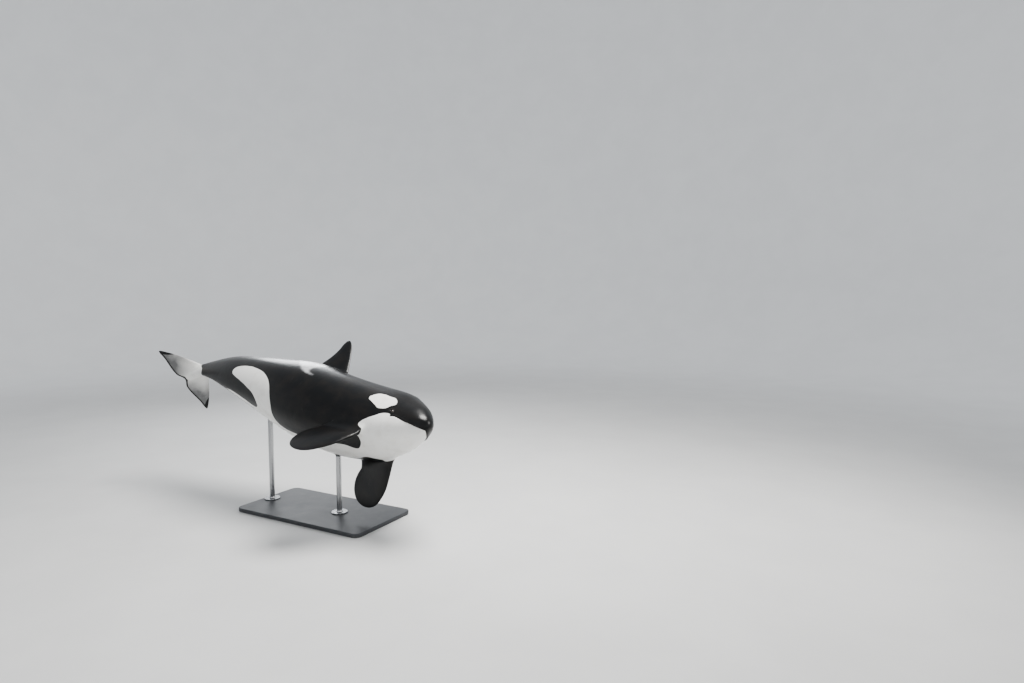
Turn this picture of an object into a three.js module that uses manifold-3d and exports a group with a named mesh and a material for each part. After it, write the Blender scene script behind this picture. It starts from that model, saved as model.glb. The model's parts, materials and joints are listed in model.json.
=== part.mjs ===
// A still, life-size orca on a plain display stand.
// Frame: millimetres, +Z up. The origin is the middle of the base's underside, and +X is the way the torso heads.
// The animal is modelled in its own frame: +X forward, +Y to its left, +Z to its back, with the origin on its spine
// at torsoAt. The group named swimmer then pitches and banks it and lifts it over the base.
// Along the animal, `at` is the distance from the tip of the snout along the spine. Round it, `angle` is in degrees:
// 0 is the left side, 90 the back, 180 the right side and -90 the belly.

import * as THREE from "three";
import { mergeVertices } from "three/addons/utils/BufferGeometryUtils.js";
import Module from "manifold-3d";

const wasm = await Module();
wasm.setup();

// Driving dimensions of the animal
const bodyLength = 5500;
const torsoAt = 2000;
const gap = 0.3;

// Each section: at, height of the back, depth of the belly, half width, level of the widest point, and how square the
// upper and lower halves are (2 is an ellipse).
const stations = [
  [0, 130, 90, 105, 0, 2.0, 2.0],
  [110, 190, 128, 158, -6, 2.0, 2.1],
  [280, 330, 200, 235, -14, 2.0, 2.2],
  [470, 452, 285, 307, -14, 2.0, 2.2],
  [720, 534, 388, 385, -24, 2.0, 2.2],
  [1050, 562, 478, 470, -55, 2.0, 2.2],
  [1500, 566, 558, 536, -70, 2.0, 2.15],
  [2000, 570, 594, 557, -55, 2.0, 2.1],
  [2530, 594, 567, 528, -16, 1.97, 2.05],
  [3080, 518, 486, 450, 10, 1.95, 2.0],
  [3630, 449, 408, 348, 22, 1.87, 1.92],
  [4180, 380, 336, 236, 20, 1.77, 1.8],
  [4680, 278, 236, 132, 14, 1.72, 1.75],
  [5030, 156, 158, 87, 6, 1.8, 1.8],
  [5280, 92, 92, 78, 0, 1.9, 1.9],
  [5500, 22, 22, 66, 0, 2.0, 2.0],
];
const snoutRound = 176; // over this length the sections close to the tip of the snout
const tailRoundFrom = 5170; // from here they close to the notch between the flukes
const lipShear = 0.42; // the forward lean of the front sections, which lets the upper jaw reach past the lower
const lipShearEnd = 550;

// The bends of the spine, in degrees: yaw to the left, pitch up and roll of the left side down, each growing smoothly
// from one place to another. Those of the head grow towards the snout.
const bends = [
  { towardSnout: true, from: 110, to: 2090, yaw: -26.7, pitch: -1, roll: 0 },
  { towardSnout: false, from: 1925, to: 4400, yaw: -4.2, pitch: -2.1, roll: 15.3 },
  { towardSnout: false, from: 3575, to: 5500, yaw: -10.5, pitch: 13, roll: 0 },
  { towardSnout: false, from: 4870, to: 5310, yaw: 0, pitch: 30.4, roll: 0 },
];
const spineStep = 5;

// How the animal hangs over the base
const swimmerPitch = -11.6;
const swimmerBank = 44;
const swimmerPlace = [250, 0, 1600];

// Fins
const flipperSize = { at: 970, angle: -37, reach: 870, width: 650, half: 52, curl: 51, start: 0.33, slant: 0.5 };
const flipperPose = {
  left: { sweep: 43.5, droop: 41, twist: 4.5 },
  right: { sweep: 50.5, droop: 44, twist: 7 },
};
const dorsalSize = { at: 2164, height: 607, base: 641, sweep: 377, half: 47, sunk: 22, lean: 1.9, start: 0.14 };
const flukeSize = { at: 5068, reach: 636, chord: 449, half: 47, droop: -3.2, axisAt: 5330, start: 0.22 };

// The patches of the body's grid that carry fins
const flipperPatch = { from: 800, to: 1400, low: -44, high: -26 };
const dorsalPatch = { from: 2130, to: 2870, low: 82, high: 98 };
const flukePatch = { from: 5050, to: 5490, low: -44, high: 44 };
const rootRim = 3; // the height of a fin's edge where it starts on the body
const flukeStraight = [0.7, 0.85]; // from these shares of its chord back a fluke leaves the body straight

// The cuts between the lengths of the body
const headEnd = 700;
const frontEnd = 2050;
const middleEnd = 3050;
const rearEnd = 4050;

// Rows of the grid along the body: the end of each stretch and its number of cells
const rowStretches = [
  [snoutRound, 7], [440, 5], [headEnd, 4], [flipperPatch.from, 1], [flipperPatch.to, 10], [frontEnd, 6],
  [dorsalPatch.from, 1], [dorsalPatch.to, 9], [middleEnd, 2], [rearEnd, 8], [4870, 7], [flukePatch.from, 3],
  [flukePatch.to, 7], [bodyLength, 2],
];
// Columns round the left half, from the belly to the back
const columnStretches = [
  [flipperPatch.low, 5], [flipperPatch.high, 2], [0, 3], [-flipperPatch.high, 3], [flukePatch.high, 2],
  [dorsalPatch.low, 4], [90, 1],
];

// Head
const mouthCornerAt = 485;
const jawDrop = [[485, 0], [560, -110], [650, -430]]; // the cut behind the mouth: at, level below the mouth line
const lowerLipInset = 13;
const mouthGrooveRadius = 5;
const lipRoll = { radius: 9, above: 3.2 };
const eye = { at: 500, angle: 15, radius: 30, halfLength: 27, halfHeight: 17, sunk: 26, tilt: -8 };
const lid = { radius: 7, upper: 9.5, spread: 1.22, sunk: 1 };
const blowhole = { at: 640, angle: 93, halfWidth: 45, halfLength: 9, bow: 16, depth: 35, rim: 8 };
const outlineCount = 26; // the points round an eye or round the blowhole
const cutHeight = 20; // how far a cut starts above the skin

// Stand
const base = { length: 2400, width: 1200, height: 60, corner: 90, bevel: 8 };
const rod = { radius: 38, flangeRadius: 120, flangeHeight: 18, cupRadius: 95, cupHeight: 70, sides: 36 };
const rods = [
  { name: "stand_rod_front", x: 350, y: -20, top: 1250 },
  { name: "stand_rod_rear", x: -1050, y: -28, top: 1750 },
];

const material = (name, colour, roughness, metalness = 0) => {
  const made = new THREE.MeshStandardMaterial({ color: colour, roughness, metalness });
  made.name = name;
  return made;
};
const blackSkin = material("skin_black", 0x101215, 0.32);
const whiteSkin = material("skin_white", 0xe9e7e0, 0.36);
const eyeGloss = material("eye", 0x120b08, 0.08);
const paintedBase = material("stand_base", 0x34373a, 0.5);
const brushedSteel = material("stand_steel", 0xb4b7ba, 0.3, 1);

// Sums

const radians = (degrees) => (degrees * Math.PI) / 180;
const clamp = (value) => Math.min(Math.max(value, 0), 1);

// A smooth step from 0 to 1, level at both ends
const ramp = (at, from, to) => {
  const t = clamp((at - from) / (to - from));
  return t * t * t * (t * (6 * t - 15) + 10);
};

// A round closing end: 1 at share 0 and 0 at share 1
const rounded = (share) => Math.sqrt(1 - clamp(share) ** 3);

// The natural cubic spline through rows of [at, value, ...], as a function that gives the values at any place
function splineThrough(rows) {
  const last = rows.length - 1;
  const x = rows.map((row) => row[0]);
  const width = rows[0].length - 1;
  const curve = [];
  for (let v = 1; v <= width; v++) {
    const y = rows.map((row) => row[v]);
    const above = [0];
    const right = [0];
    for (let i = 1; i < last; i++) {
      const before = x[i] - x[i - 1];
      const after = x[i + 1] - x[i];
      const pivot = 2 * (before + after) - before * above[i - 1];
      above[i] = after / pivot;
      const change = (y[i + 1] - y[i]) / after - (y[i] - y[i - 1]) / before;
      right[i] = (6 * change - before * right[i - 1]) / pivot;
    }
    const second = new Array(last + 1).fill(0);
    for (let i = last - 1; i > 0; i--) {
      second[i] = right[i] - above[i] * second[i + 1];
    }
    curve.push({ y, second });
  }
  return (at) => {
    let i = 0;
    while (i < last - 1 && at > x[i + 1]) i++;
    const span = x[i + 1] - x[i];
    const t = clamp((at - x[i]) / span);
    const u = 1 - t;
    return curve.map(({ y, second }) => {
      const bend = (u ** 3 - u) * second[i] + (t ** 3 - t) * second[i + 1];
      return u * y[i] + t * y[i + 1] + (bend * span * span) / 6;
    });
  };
}

// Three perpendicular directions from yaw, pitch and roll: forward, left and up
function axesOf(yaw, pitch, roll) {
  const [a, b, c] = [radians(yaw), radians(pitch), radians(roll)];
  const forward = new THREE.Vector3(Math.cos(a) * Math.cos(b), Math.sin(a) * Math.cos(b), Math.sin(b));
  const level = new THREE.Vector3(-Math.sin(a), Math.cos(a), 0);
  const over = forward.clone().cross(level);
  const left = level.multiplyScalar(Math.cos(c)).addScaledVector(over, -Math.sin(c));
  const up = forward.clone().cross(left);
  return { forward, left, up };
}

const along = (start, ...steps) => {
  const point = start.clone();
  for (const [direction, distance] of steps) point.addScaledVector(direction, distance);
  return point;
};

// The spine

const spine = (() => {
  const frames = [];
  for (let at = 0; at <= bodyLength; at += spineStep) {
    const turn = { yaw: 0, pitch: 0, roll: 0 };
    for (const bend of bends) {
      const grown = ramp(at, bend.from, bend.to);
      const share = bend.towardSnout ? 1 - grown : grown;
      turn.yaw += bend.yaw * share;
      turn.pitch += bend.pitch * share;
      turn.roll += bend.roll * share;
    }
    frames.push(axesOf(turn.yaw, turn.pitch, turn.roll));
  }
  frames[0].centre = new THREE.Vector3();
  for (let i = 1; i < frames.length; i++) {
    const step = frames[i].forward.clone().add(frames[i - 1].forward);
    frames[i].centre = along(frames[i - 1].centre, [step, -spineStep / 2]);
  }
  const origin = frames[torsoAt / spineStep].centre.clone();
  for (const frame of frames) frame.centre.sub(origin);
  return frames;
})();

function spineAt(at) {
  const inside = Math.min(Math.max(at, 0), bodyLength);
  const i = Math.min(Math.floor(inside / spineStep), spine.length - 2);
  const t = inside / spineStep - i;
  const mix = (key) => spine[i][key].clone().lerp(spine[i + 1][key], t);
  const frame = { forward: mix("forward"), left: mix("left"), up: mix("up"), centre: mix("centre") };
  frame.centre.addScaledVector(frame.forward, inside - at);
  return frame;
}

// The body's surface

const stationAt = splineThrough(stations);

// A point of the skin. `raise` lifts it off the skin. `jaw` gives the lower jaw's own outline, set in under the lip.
function bodyPoint(at, angle, raise = 0, jaw = false) {
  const [back, belly, halfWidth, level, squareTop, squareLow] = stationAt(at);
  const snout = rounded(1 - at / snoutRound);
  const closing = snout * rounded((at - tailRoundFrom) / (bodyLength - tailRoundFrom));
  const sine = Math.sin(radians(angle));
  const cosine = Math.cos(radians(angle));
  const upper = sine >= 0;
  const wide = level * snout;
  const height = Math.max(upper ? back * closing + raise - wide : belly * closing + raise + wide, 1e-3);
  const width = Math.max(halfWidth * closing + raise, 1e-3);
  const power = upper ? squareTop : squareLow;
  const reach = (Math.abs(cosine) / width) ** power + (Math.abs(sine) / height) ** power;
  let radius = reach ** (-1 / power);
  if (jaw) {
    const below = 1 - ramp(Math.abs(sine), 0.3, 0.98);
    radius -= lowerLipInset * below * (1 - ramp(at, 60, mouthCornerAt)) * snout;
  }
  const lean = lipShear * radius * sine * (1 - ramp(at, 0, lipShearEnd));
  const { forward, left, up, centre } = spineAt(at);
  return along(centre, [forward, lean], [left, radius * cosine], [up, wide + radius * sine]);
}

// The outward direction of the skin, from the slope of the surface along and round the body
function bodyNormal(at, angle) {
  const alongBody = bodyPoint(at + 5, angle).sub(bodyPoint(at - 5, angle));
  const roundBody = bodyPoint(at, angle + 1).sub(bodyPoint(at, angle - 1));
  return alongBody.cross(roundBody).normalize();
}

// Meshes are built from vertices and triangles in plain arrays.

class Shell {
  points = [];
  faces = [];

  add(point) {
    this.points.push(point.x, point.y, point.z);
    return this.points.length / 3 - 1;
  }

  ring(points) {
    return points.map((point) => this.add(point));
  }

  // Joins two closed rings of the same count. The first is the outer or lower one, anticlockwise from outside.
  join(outer, inner) {
    outer.forEach((a, i) => {
      const next = (i + 1) % outer.length;
      this.quad(a, outer[next], inner[next], inner[i]);
    });
  }

  quad(a, b, c, d) {
    this.faces.push(a, b, c, a, c, d);
  }

  // Closes a ring with a fan round one point
  fan(ring, tip) {
    ring.forEach((a, i) => this.faces.push(a, ring[(i + 1) % ring.length], tip));
  }

  geometry() {
    const made = new THREE.BufferGeometry();
    made.setAttribute("position", new THREE.Float32BufferAttribute(this.points, 3));
    made.setIndex(this.faces);
    return made;
  }
}

// The grid's places along the body, and its angles all the way round

const rowPlaces = (() => {
  const places = [0];
  let start = 0;
  for (const [end, cells] of rowStretches) {
    for (let i = 1; i <= cells; i++) {
      const share = i / cells;
      places.push(start + (end - start) * (start === 0 ? share * share : share));
    }
    start = end;
  }
  return places;
})();

const columnAngles = (() => {
  const leftHalf = [-90];
  let start = -90;
  for (const [end, cells] of columnStretches) {
    for (let i = 1; i <= cells; i++) leftHalf.push(start + ((end - start) * i) / cells);
    start = end;
  }
  const rightHalf = leftHalf.slice(1, -1).map((angle) => 180 - angle);
  return [...leftHalf, ...rightHalf.reverse()];
})();

// A length of the body from one cut to the next, with flat ends. At the snout and at the notch it closes to a point.
function bodyLengthShell(from, to, jaw = false) {
  const shell = new Shell();
  const inside = rowPlaces.filter((at) => at > from + 1 && at < to - 1);
  const atSnout = from === 0;
  const atNotch = to === bodyLength;
  const places = [...(atSnout ? [] : [from + gap / 2]), ...inside, ...(atNotch ? [] : [to - gap / 2])];
  const rings = places.map((at) => shell.ring(columnAngles.map((angle) => bodyPoint(at, angle, 0, jaw))));
  for (let i = 1; i < rings.length; i++) shell.join(rings[i], rings[i - 1]);
  const front = atSnout ? bodyPoint(0, 0) : spineAt(places[0]).centre;
  const back = atNotch ? bodyPoint(bodyLength, 0) : spineAt(places.at(-1)).centre;
  shell.fan(rings[0], shell.add(front));
  shell.fan([...rings.at(-1)].reverse(), shell.add(back));
  return shell;
}

// Fins. Each has an origin, three directions and a plan: for a share of its reach, how far out, where its leading
// edge lies, its chord, its half thickness and its lift. Its first free ring lies at `start` of the reach, nearer the
// body by half of `slant` at the leading edge and farther by as much at the trailing edge.

const tipRounding = (share, from, power) => Math.sqrt(1 - clamp((share - from) / (1 - from)) ** power);
const tipMiddle = 0.42; // the share of its chord that the tip of the back fin or of a fluke closes towards

const flipperCurve = splineThrough([
  [0, 0.64, 0.05, 1.15], [0.15, 0.78, 0.05, 1.05], [0.35, 0.94, 0.043, 0.89], [0.6, 1, 0.06, 0.65],
  [0.85, 0.96, 0.11, 0.42], [1, 0.9, 0.16, 0.3],
]);

function flipperFin(side) {
  const { sweep, droop, twist } = flipperPose[side > 0 ? "left" : "right"];
  const { at, angle, reach, width, half, curl, start, slant } = flipperSize;
  const { forward, left, up } = spineAt(at);
  const out = along(
    new THREE.Vector3(),
    [left, side * Math.cos(radians(sweep)) * Math.cos(radians(droop))],
    [forward, -Math.sin(radians(sweep)) * Math.cos(radians(droop))],
    [up, -Math.sin(radians(droop))],
  );
  const back = forward.clone().negate();
  const flat = along(back, [out, -out.dot(back)]).normalize();
  const over = flat.clone().cross(out).multiplyScalar(-side);
  const [c, s] = [Math.cos(radians(twist)), Math.sin(radians(twist))];
  return {
    origin: bodyPoint(at, side > 0 ? angle : 180 - angle),
    out,
    chordwise: flat.clone().multiplyScalar(c).addScaledVector(over, s),
    over: over.clone().multiplyScalar(c).addScaledVector(flat, -s),
    turn: -side,
    start,
    slant,
    plan(share) {
      const [chordShare, middleShare, thickShare] = flipperCurve(share);
      const chord = width * chordShare * tipRounding(share, 0.6, 2.4);
      return {
        distance: reach * share,
        lead: width * middleShare - chord / 2,
        chord,
        half: half * thickShare * tipRounding(share, 0.6, 2.2),
        lift: -curl * share * share,
      };
    },
  };
}

const dorsalCurve = splineThrough([
  [0, 0, 1, 1], [0.25, 0.22, 0.74, 0.79], [0.5, 0.46, 0.52, 0.6], [0.75, 0.72, 0.34, 0.44], [1, 1, 0.22, 0.3],
]);

function dorsalFin() {
  const { at, height, base: root, sweep, half, sunk, lean, start } = dorsalSize;
  const { forward, left, up } = spineAt(at);
  const [c, s] = [Math.cos(radians(lean)), Math.sin(radians(lean))];
  return {
    origin: bodyPoint(at, 90),
    out: up.clone().multiplyScalar(c).addScaledVector(left, s),
    chordwise: forward.clone().negate(),
    over: left.clone().multiplyScalar(c).addScaledVector(up, -s),
    turn: 1,
    start,
    slant: 0,
    plan(share) {
      const [leadShare, chordShare, thickShare] = dorsalCurve(share);
      const closing = tipRounding(share, 0.75, 2.2);
      return {
        distance: height * share - sunk * (1 - share),
        lead: sweep * leadShare + root * chordShare * (1 - closing) * tipMiddle,
        chord: root * chordShare * closing,
        half: half * thickShare * tipRounding(share, 0.8, 2.2),
        lift: 0,
      };
    },
  };
}

const flukeLead = splineThrough([[0, 0], [0.15, 0.05], [0.4, 0.26], [0.7, 0.56], [0.9, 0.81], [1, 0.93]]);
const flukeTrail = splineThrough([[0, 0.98], [0.12, 1.06], [0.3, 1.1], [0.6, 1.05], [0.85, 1.02], [1, 1.05]]);
const flukeThick = splineThrough([[0, 1.2], [0.3, 0.7], [0.7, 0.4], [1, 0.1]]);

function flukeFin(side) {
  const { at, reach, chord, half, droop, axisAt, start } = flukeSize;
  const { forward, left, up, centre } = spineAt(axisAt);
  const [c, s] = [Math.cos(radians(droop)), Math.sin(radians(droop))];
  return {
    origin: along(centre, [forward, axisAt - at]),
    out: left.clone().multiplyScalar(side * c).addScaledVector(up, s),
    chordwise: forward.clone().negate(),
    over: up.clone().multiplyScalar(c).addScaledVector(left, -side * s),
    turn: -side,
    start,
    slant: 0,
    straight: flukeStraight,
    plan(share) {
      const lead = chord * flukeLead(share)[0];
      const whole = chord * flukeTrail(share)[0] - lead;
      const closing = tipRounding(share, 0.86, 2.2);
      return {
        distance: reach * share,
        lead: lead + whole * (1 - closing) * tipMiddle,
        chord: whole * closing,
        half: half * flukeThick(share)[0] * closing,
        lift: 0,
      };
    },
  };
}

// Where each point of a ring lies round a fin's section
const phaseOf = (fin, k, count, startCell) => (2 * Math.PI * fin.turn * (k + startCell)) / count;
const backOf = (phase) => (1 - Math.cos(phase)) / 2; // the share of the chord behind the leading edge

// One ring of a fin, from the first free one at 0 to the tip at 1. A thickness outline with a round nose and a fine
// trailing edge.
function finRing(fin, outward, count, startCell) {
  const points = [];
  for (let k = 0; k < count; k++) {
    const phase = phaseOf(fin, k, count, startCell);
    const back = backOf(phase);
    const share = outward + (1 - outward) * (fin.start + fin.slant * (back - 0.5));
    const { distance, lead, chord, half, lift } = fin.plan(share);
    const thick = 1.84 * Math.sqrt(back) * (1 - back) ** 0.75 * Math.sign(Math.sin(phase));
    points.push(
      along(fin.origin, [fin.out, distance], [fin.chordwise, lead + chord * back], [fin.over, lift + half * thick]),
    );
  }
  return points;
}

// A fin stands on a patch of the body's grid: its underside repeats the patch a gap above the skin, and its edge
// flows from the skin into the fin's own rings.
function finShell(fin, patch, angleOf, rings, flow) {
  const places = rowPlaces.filter((at) => at >= patch.from - 1 && at <= patch.to + 1);
  const all = [...columnAngles, ...columnAngles.map((angle) => angle + 360)];
  const angles = all.filter((angle) => angle >= angleOf(patch.low) - 1e-6 && angle <= angleOf(patch.high) + 1e-6);
  const [a, b] = [places.length - 1, angles.length - 1];
  const edge = [];
  for (let i = 0; i < a; i++) edge.push([places[i], angles[0]]);
  for (let j = 0; j < b; j++) edge.push([places[a], angles[j]]);
  for (let i = a; i > 0; i--) edge.push([places[i], angles[b]]);
  for (let j = b; j > 0; j--) edge.push([places[0], angles[j]]);
  const count = edge.length;

  const shell = new Shell();
  const lifted = ([at, angle], height) => along(bodyPoint(at, angle), [bodyNormal(at, angle), height]);
  const under = new Map();
  for (const at of places) {
    for (const angle of angles) under.set(`${at} ${angle}`, shell.add(lifted([at, angle], gap)));
  }
  const cell = (i, j) => under.get(`${places[i]} ${angles[j]}`);
  for (let i = 0; i < a; i++) {
    for (let j = 0; j < b; j++) shell.quad(cell(i, j + 1), cell(i + 1, j + 1), cell(i + 1, j), cell(i, j));
  }
  let ring = edge.map(([at, angle]) => under.get(`${at} ${angle}`));
  const advance = (points) => {
    const next = shell.ring(points);
    shell.join(ring, next);
    ring = next;
  };

  const startCell = b / 2;
  const rim = edge.map((corner) => lifted(corner, gap + rootRim));
  advance(rim);
  const first = finRing(fin, 0, count, startCell);
  const second = finRing(fin, 0.02, count, startCell);
  for (let step = 1; step <= flow; step++) {
    const t = step / (flow + 1);
    advance(
      rim.map((start, k) => {
        const end = first[k];
        const distance = start.distanceTo(end);
        const normal = bodyNormal(...edge[k]);
        const across = end.clone().sub(start);
        const back = backOf(phaseOf(fin, k, count, startCell));
        const straight = fin.straight ? ramp(back, ...fin.straight) : 0;
        const alongSkin = across.clone().projectOnPlane(normal).normalize().multiplyScalar(distance);
        const leave = alongSkin.lerp(across, straight);
        const arrive = second[k].clone().sub(end).normalize().multiplyScalar(distance);
        return along(
          new THREE.Vector3(),
          [start, 2 * t ** 3 - 3 * t ** 2 + 1],
          [leave, t ** 3 - 2 * t ** 2 + t],
          [end, 3 * t ** 2 - 2 * t ** 3],
          [arrive, t ** 3 - t ** 2],
        );
      }),
    );
  }
  for (let step = 0; step < rings; step++) {
    advance(finRing(fin, 1 - (1 - step / rings) ** 1.5, count, startCell));
  }
  shell.fan(ring, shell.add(finRing(fin, 1, 2, 0)[0]));
  return shell;
}

// Solids for cutting and joining

function solidOf(geometry) {
  const bare = geometry.clone();
  bare.deleteAttribute("normal");
  bare.deleteAttribute("uv");
  const merged = mergeVertices(bare, 1e-4);
  const vertProperties = new Float32Array(merged.getAttribute("position").array);
  const triVerts = new Uint32Array(merged.index.array);
  return new wasm.Manifold(new wasm.Mesh({ numProp: 3, vertProperties, triVerts }));
}

function geometryOf(solid) {
  const { vertProperties, triVerts } = solid.getMesh();
  const made = new THREE.BufferGeometry();
  made.setAttribute("position", new THREE.BufferAttribute(vertProperties, 3));
  made.setIndex(new THREE.BufferAttribute(triVerts, 1));
  return made;
}

// The largest of a solid's bodies, without any scrap of a cut
const largest = (solid) => solid.decompose().sort((p, q) => q.volume() - p.volume())[0];

const tubeSides = 6;

// A tube along a line of points, with a radius for each. `upward` is the direction that its sides are counted from.
function tubeShell(points, radiusOf, upward, closed) {
  const shell = new Shell();
  const count = points.length;
  const rings = points.map((point, i) => {
    const before = points[closed ? (i + count - 1) % count : Math.max(i - 1, 0)];
    const after = points[closed ? (i + 1) % count : Math.min(i + 1, count - 1)];
    const heading = after.clone().sub(before).normalize();
    const aside = heading.clone().cross(upward).normalize();
    const over = heading.clone().cross(aside);
    const ring = [];
    for (let k = 0; k < tubeSides; k++) {
      const turn = (2 * Math.PI * k) / tubeSides;
      const radius = radiusOf(i);
      ring.push(along(point, [aside, radius * Math.cos(turn)], [over, radius * Math.sin(turn)]));
    }
    return shell.ring(ring);
  });
  for (let i = 1; i < count; i++) shell.join(rings[i - 1], rings[i]);
  if (closed) {
    shell.join(rings[count - 1], rings[0]);
  } else {
    shell.fan([...rings[0]].reverse(), shell.add(points[0]));
    shell.fan(rings[count - 1], shell.add(points[count - 1]));
  }
  return shell;
}

// A plug through the skin with a closed outline, from a height above the skin to a depth below it
function plugShell(outline, centre, height, depth) {
  const shell = new Shell();
  const inward = bodyNormal(...centre).negate();
  const top = shell.ring(outline.map((point) => along(point, [inward, -height])));
  const low = shell.ring(outline.map((point) => along(point, [inward, depth])));
  shell.join(low, top);
  const middle = bodyPoint(...centre);
  shell.fan(top, shell.add(along(middle, [inward, -height])));
  shell.fan([...low].reverse(), shell.add(along(middle, [inward, depth])));
  return shell;
}

// Eyes

// The almond of the lids' edge, drawn on the skin: pointed towards both corners and fuller above than below
function eyeOutline(side, scale) {
  const { at, angle, halfLength, halfHeight, tilt } = eye;
  const radius = bodyPoint(at, angle).distanceTo(spineAt(at).centre);
  const points = [];
  for (let k = 0; k < outlineCount; k++) {
    const turn = (2 * Math.PI * k) / outlineCount;
    const ahead = Math.cos(turn) * halfLength * scale;
    const fullness = Math.sin(turn) > 0 ? 1 : 0.8;
    const rise = Math.sin(turn) * Math.abs(Math.sin(turn)) ** 0.35 * halfHeight * scale * fullness;
    const [c, s] = [Math.cos(radians(tilt)), Math.sin(radians(tilt))];
    const place = at - (ahead * c - rise * s);
    const over = angle + THREE.MathUtils.radToDeg((ahead * s + rise * c) / radius);
    points.push(bodyPoint(place, side > 0 ? over : 180 - over));
  }
  return side > 0 ? points.reverse() : points;
}

const eyePlace = (side) => [eye.at, side > 0 ? eye.angle : 180 - eye.angle];

function eyeballGeometry(side, extra = 0) {
  const ball = new THREE.SphereGeometry(eye.radius + extra, 18, 12);
  const place = eyePlace(side);
  const centre = along(bodyPoint(...place), [bodyNormal(...place), -eye.sunk]);
  ball.rotateX(Math.PI / 2);
  ball.translate(centre.x, centre.y, centre.z);
  return ball;
}

// The lids: a rounded ridge round the almond, thicker above
function lidSolid(side) {
  const count = outlineCount;
  const normal = bodyNormal(...eyePlace(side));
  const points = eyeOutline(side, lid.spread).map((point) => along(point, [normal, -lid.sunk]));
  const upperShare = (i) => Math.max(Math.sin((2 * Math.PI * (side > 0 ? count - 1 - i : i)) / count), 0);
  const shell = tubeShell(points, (i) => lid.radius + (lid.upper - lid.radius) * upperShare(i), normal, true);
  return solidOf(shell.geometry());
}

// The mouth line, on the skin from one corner round the snout to the other

function mouthLine(side, height, angleOver) {
  const points = [];
  const count = 14;
  for (let i = count; i > 0; i--) {
    const at = mouthCornerAt * (i / count) ** 1.6;
    const angle = side > 0 ? angleOver : 180 - angleOver;
    points.push(along(bodyPoint(at, angle), [bodyNormal(at, angle), height]));
  }
  return points;
}

function mouthCurve(height, angleOver) {
  const leftSide = mouthLine(1, height, angleOver);
  const rightSide = mouthLine(-1, height, angleOver).reverse();
  const { forward } = spineAt(0);
  return [...leftSide, along(bodyPoint(0, 0), [forward, height]), ...rightSide];
}

// The block of space that holds the lower jaw: under the mouth line, and cut off behind it down to the throat
function jawBlock(shift) {
  const shell = new Shell();
  const reachOut = 520;
  const reachDown = 700;
  const levels = [[-60, 0], [0, 0]];
  for (let at = 60; at < mouthCornerAt; at += 85) levels.push([at, 0]);
  for (const [at, drop] of jawDrop) levels.push([at + shift, drop]);
  const rings = levels.map(([at, drop]) => {
    const { forward, left, up, centre } = spineAt(at);
    const inside = Math.max(at, 0);
    const wide = stationAt(inside)[3] * rounded(1 - inside / snoutRound);
    const lean = lipShear * (1 - ramp(at, 0, lipShearEnd));
    const corner = (aside, level) => along(centre, [left, aside], [up, level], [forward, lean * (level - wide)]);
    const top = wide + drop + shift;
    return shell.ring([
      corner(-reachOut, top), corner(-reachOut, -reachDown), corner(reachOut, -reachDown), corner(reachOut, top),
    ]);
  });
  for (let i = 1; i < rings.length; i++) shell.join(rings[i], rings[i - 1]);
  shell.quad(...rings[0]);
  shell.quad(...[...rings.at(-1)].reverse());
  return solidOf(shell.geometry());
}

// Blowhole: a crescent that opens on top of the head, its horns towards the snout, with a low raised rim

function blowholeOutline(scale) {
  const { at, angle, halfWidth, halfLength, bow } = blowhole;
  const radius = bodyPoint(at, 90).distanceTo(spineAt(at).centre);
  const points = [];
  for (let k = 0; k < outlineCount; k++) {
    const turn = (2 * Math.PI * k) / outlineCount;
    const across = Math.cos(turn) * (halfWidth + (scale - 1) * halfLength);
    const behind = Math.sin(turn) * halfLength * scale * (1.1 - 0.6 * Math.cos(turn) ** 2);
    const horns = -bow * Math.cos(turn) ** 2;
    points.push(bodyPoint(at + horns + behind, angle - THREE.MathUtils.radToDeg(across / radius)));
  }
  return points;
}

const blowholePlace = [blowhole.at - blowhole.bow / 2, blowhole.angle];

function blowholeRim() {
  const normal = bodyNormal(...blowholePlace);
  const points = blowholeOutline(2.1).map((point) => along(point, [normal, -blowhole.rim * 0.45]));
  return solidOf(tubeShell(points, () => blowhole.rim, normal, true).geometry());
}

// Nodes

const swimmer = new THREE.Group();
swimmer.name = "swimmer";
const swimmerAxes = axesOf(0, swimmerPitch, swimmerBank);
const stance = new THREE.Matrix4().makeBasis(swimmerAxes.forward, swimmerAxes.left, swimmerAxes.up);
swimmer.quaternion.setFromRotationMatrix(stance);
swimmer.position.set(...swimmerPlace);

const part = new THREE.Group();
part.name = "orca_model";
part.add(swimmer);

function addTo(group, name, geometry, finish) {
  const mesh = new THREE.Mesh(geometry, finish);
  geometry.computeVertexNormals();
  mesh.name = name;
  group.add(mesh);
  return mesh;
}

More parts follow.
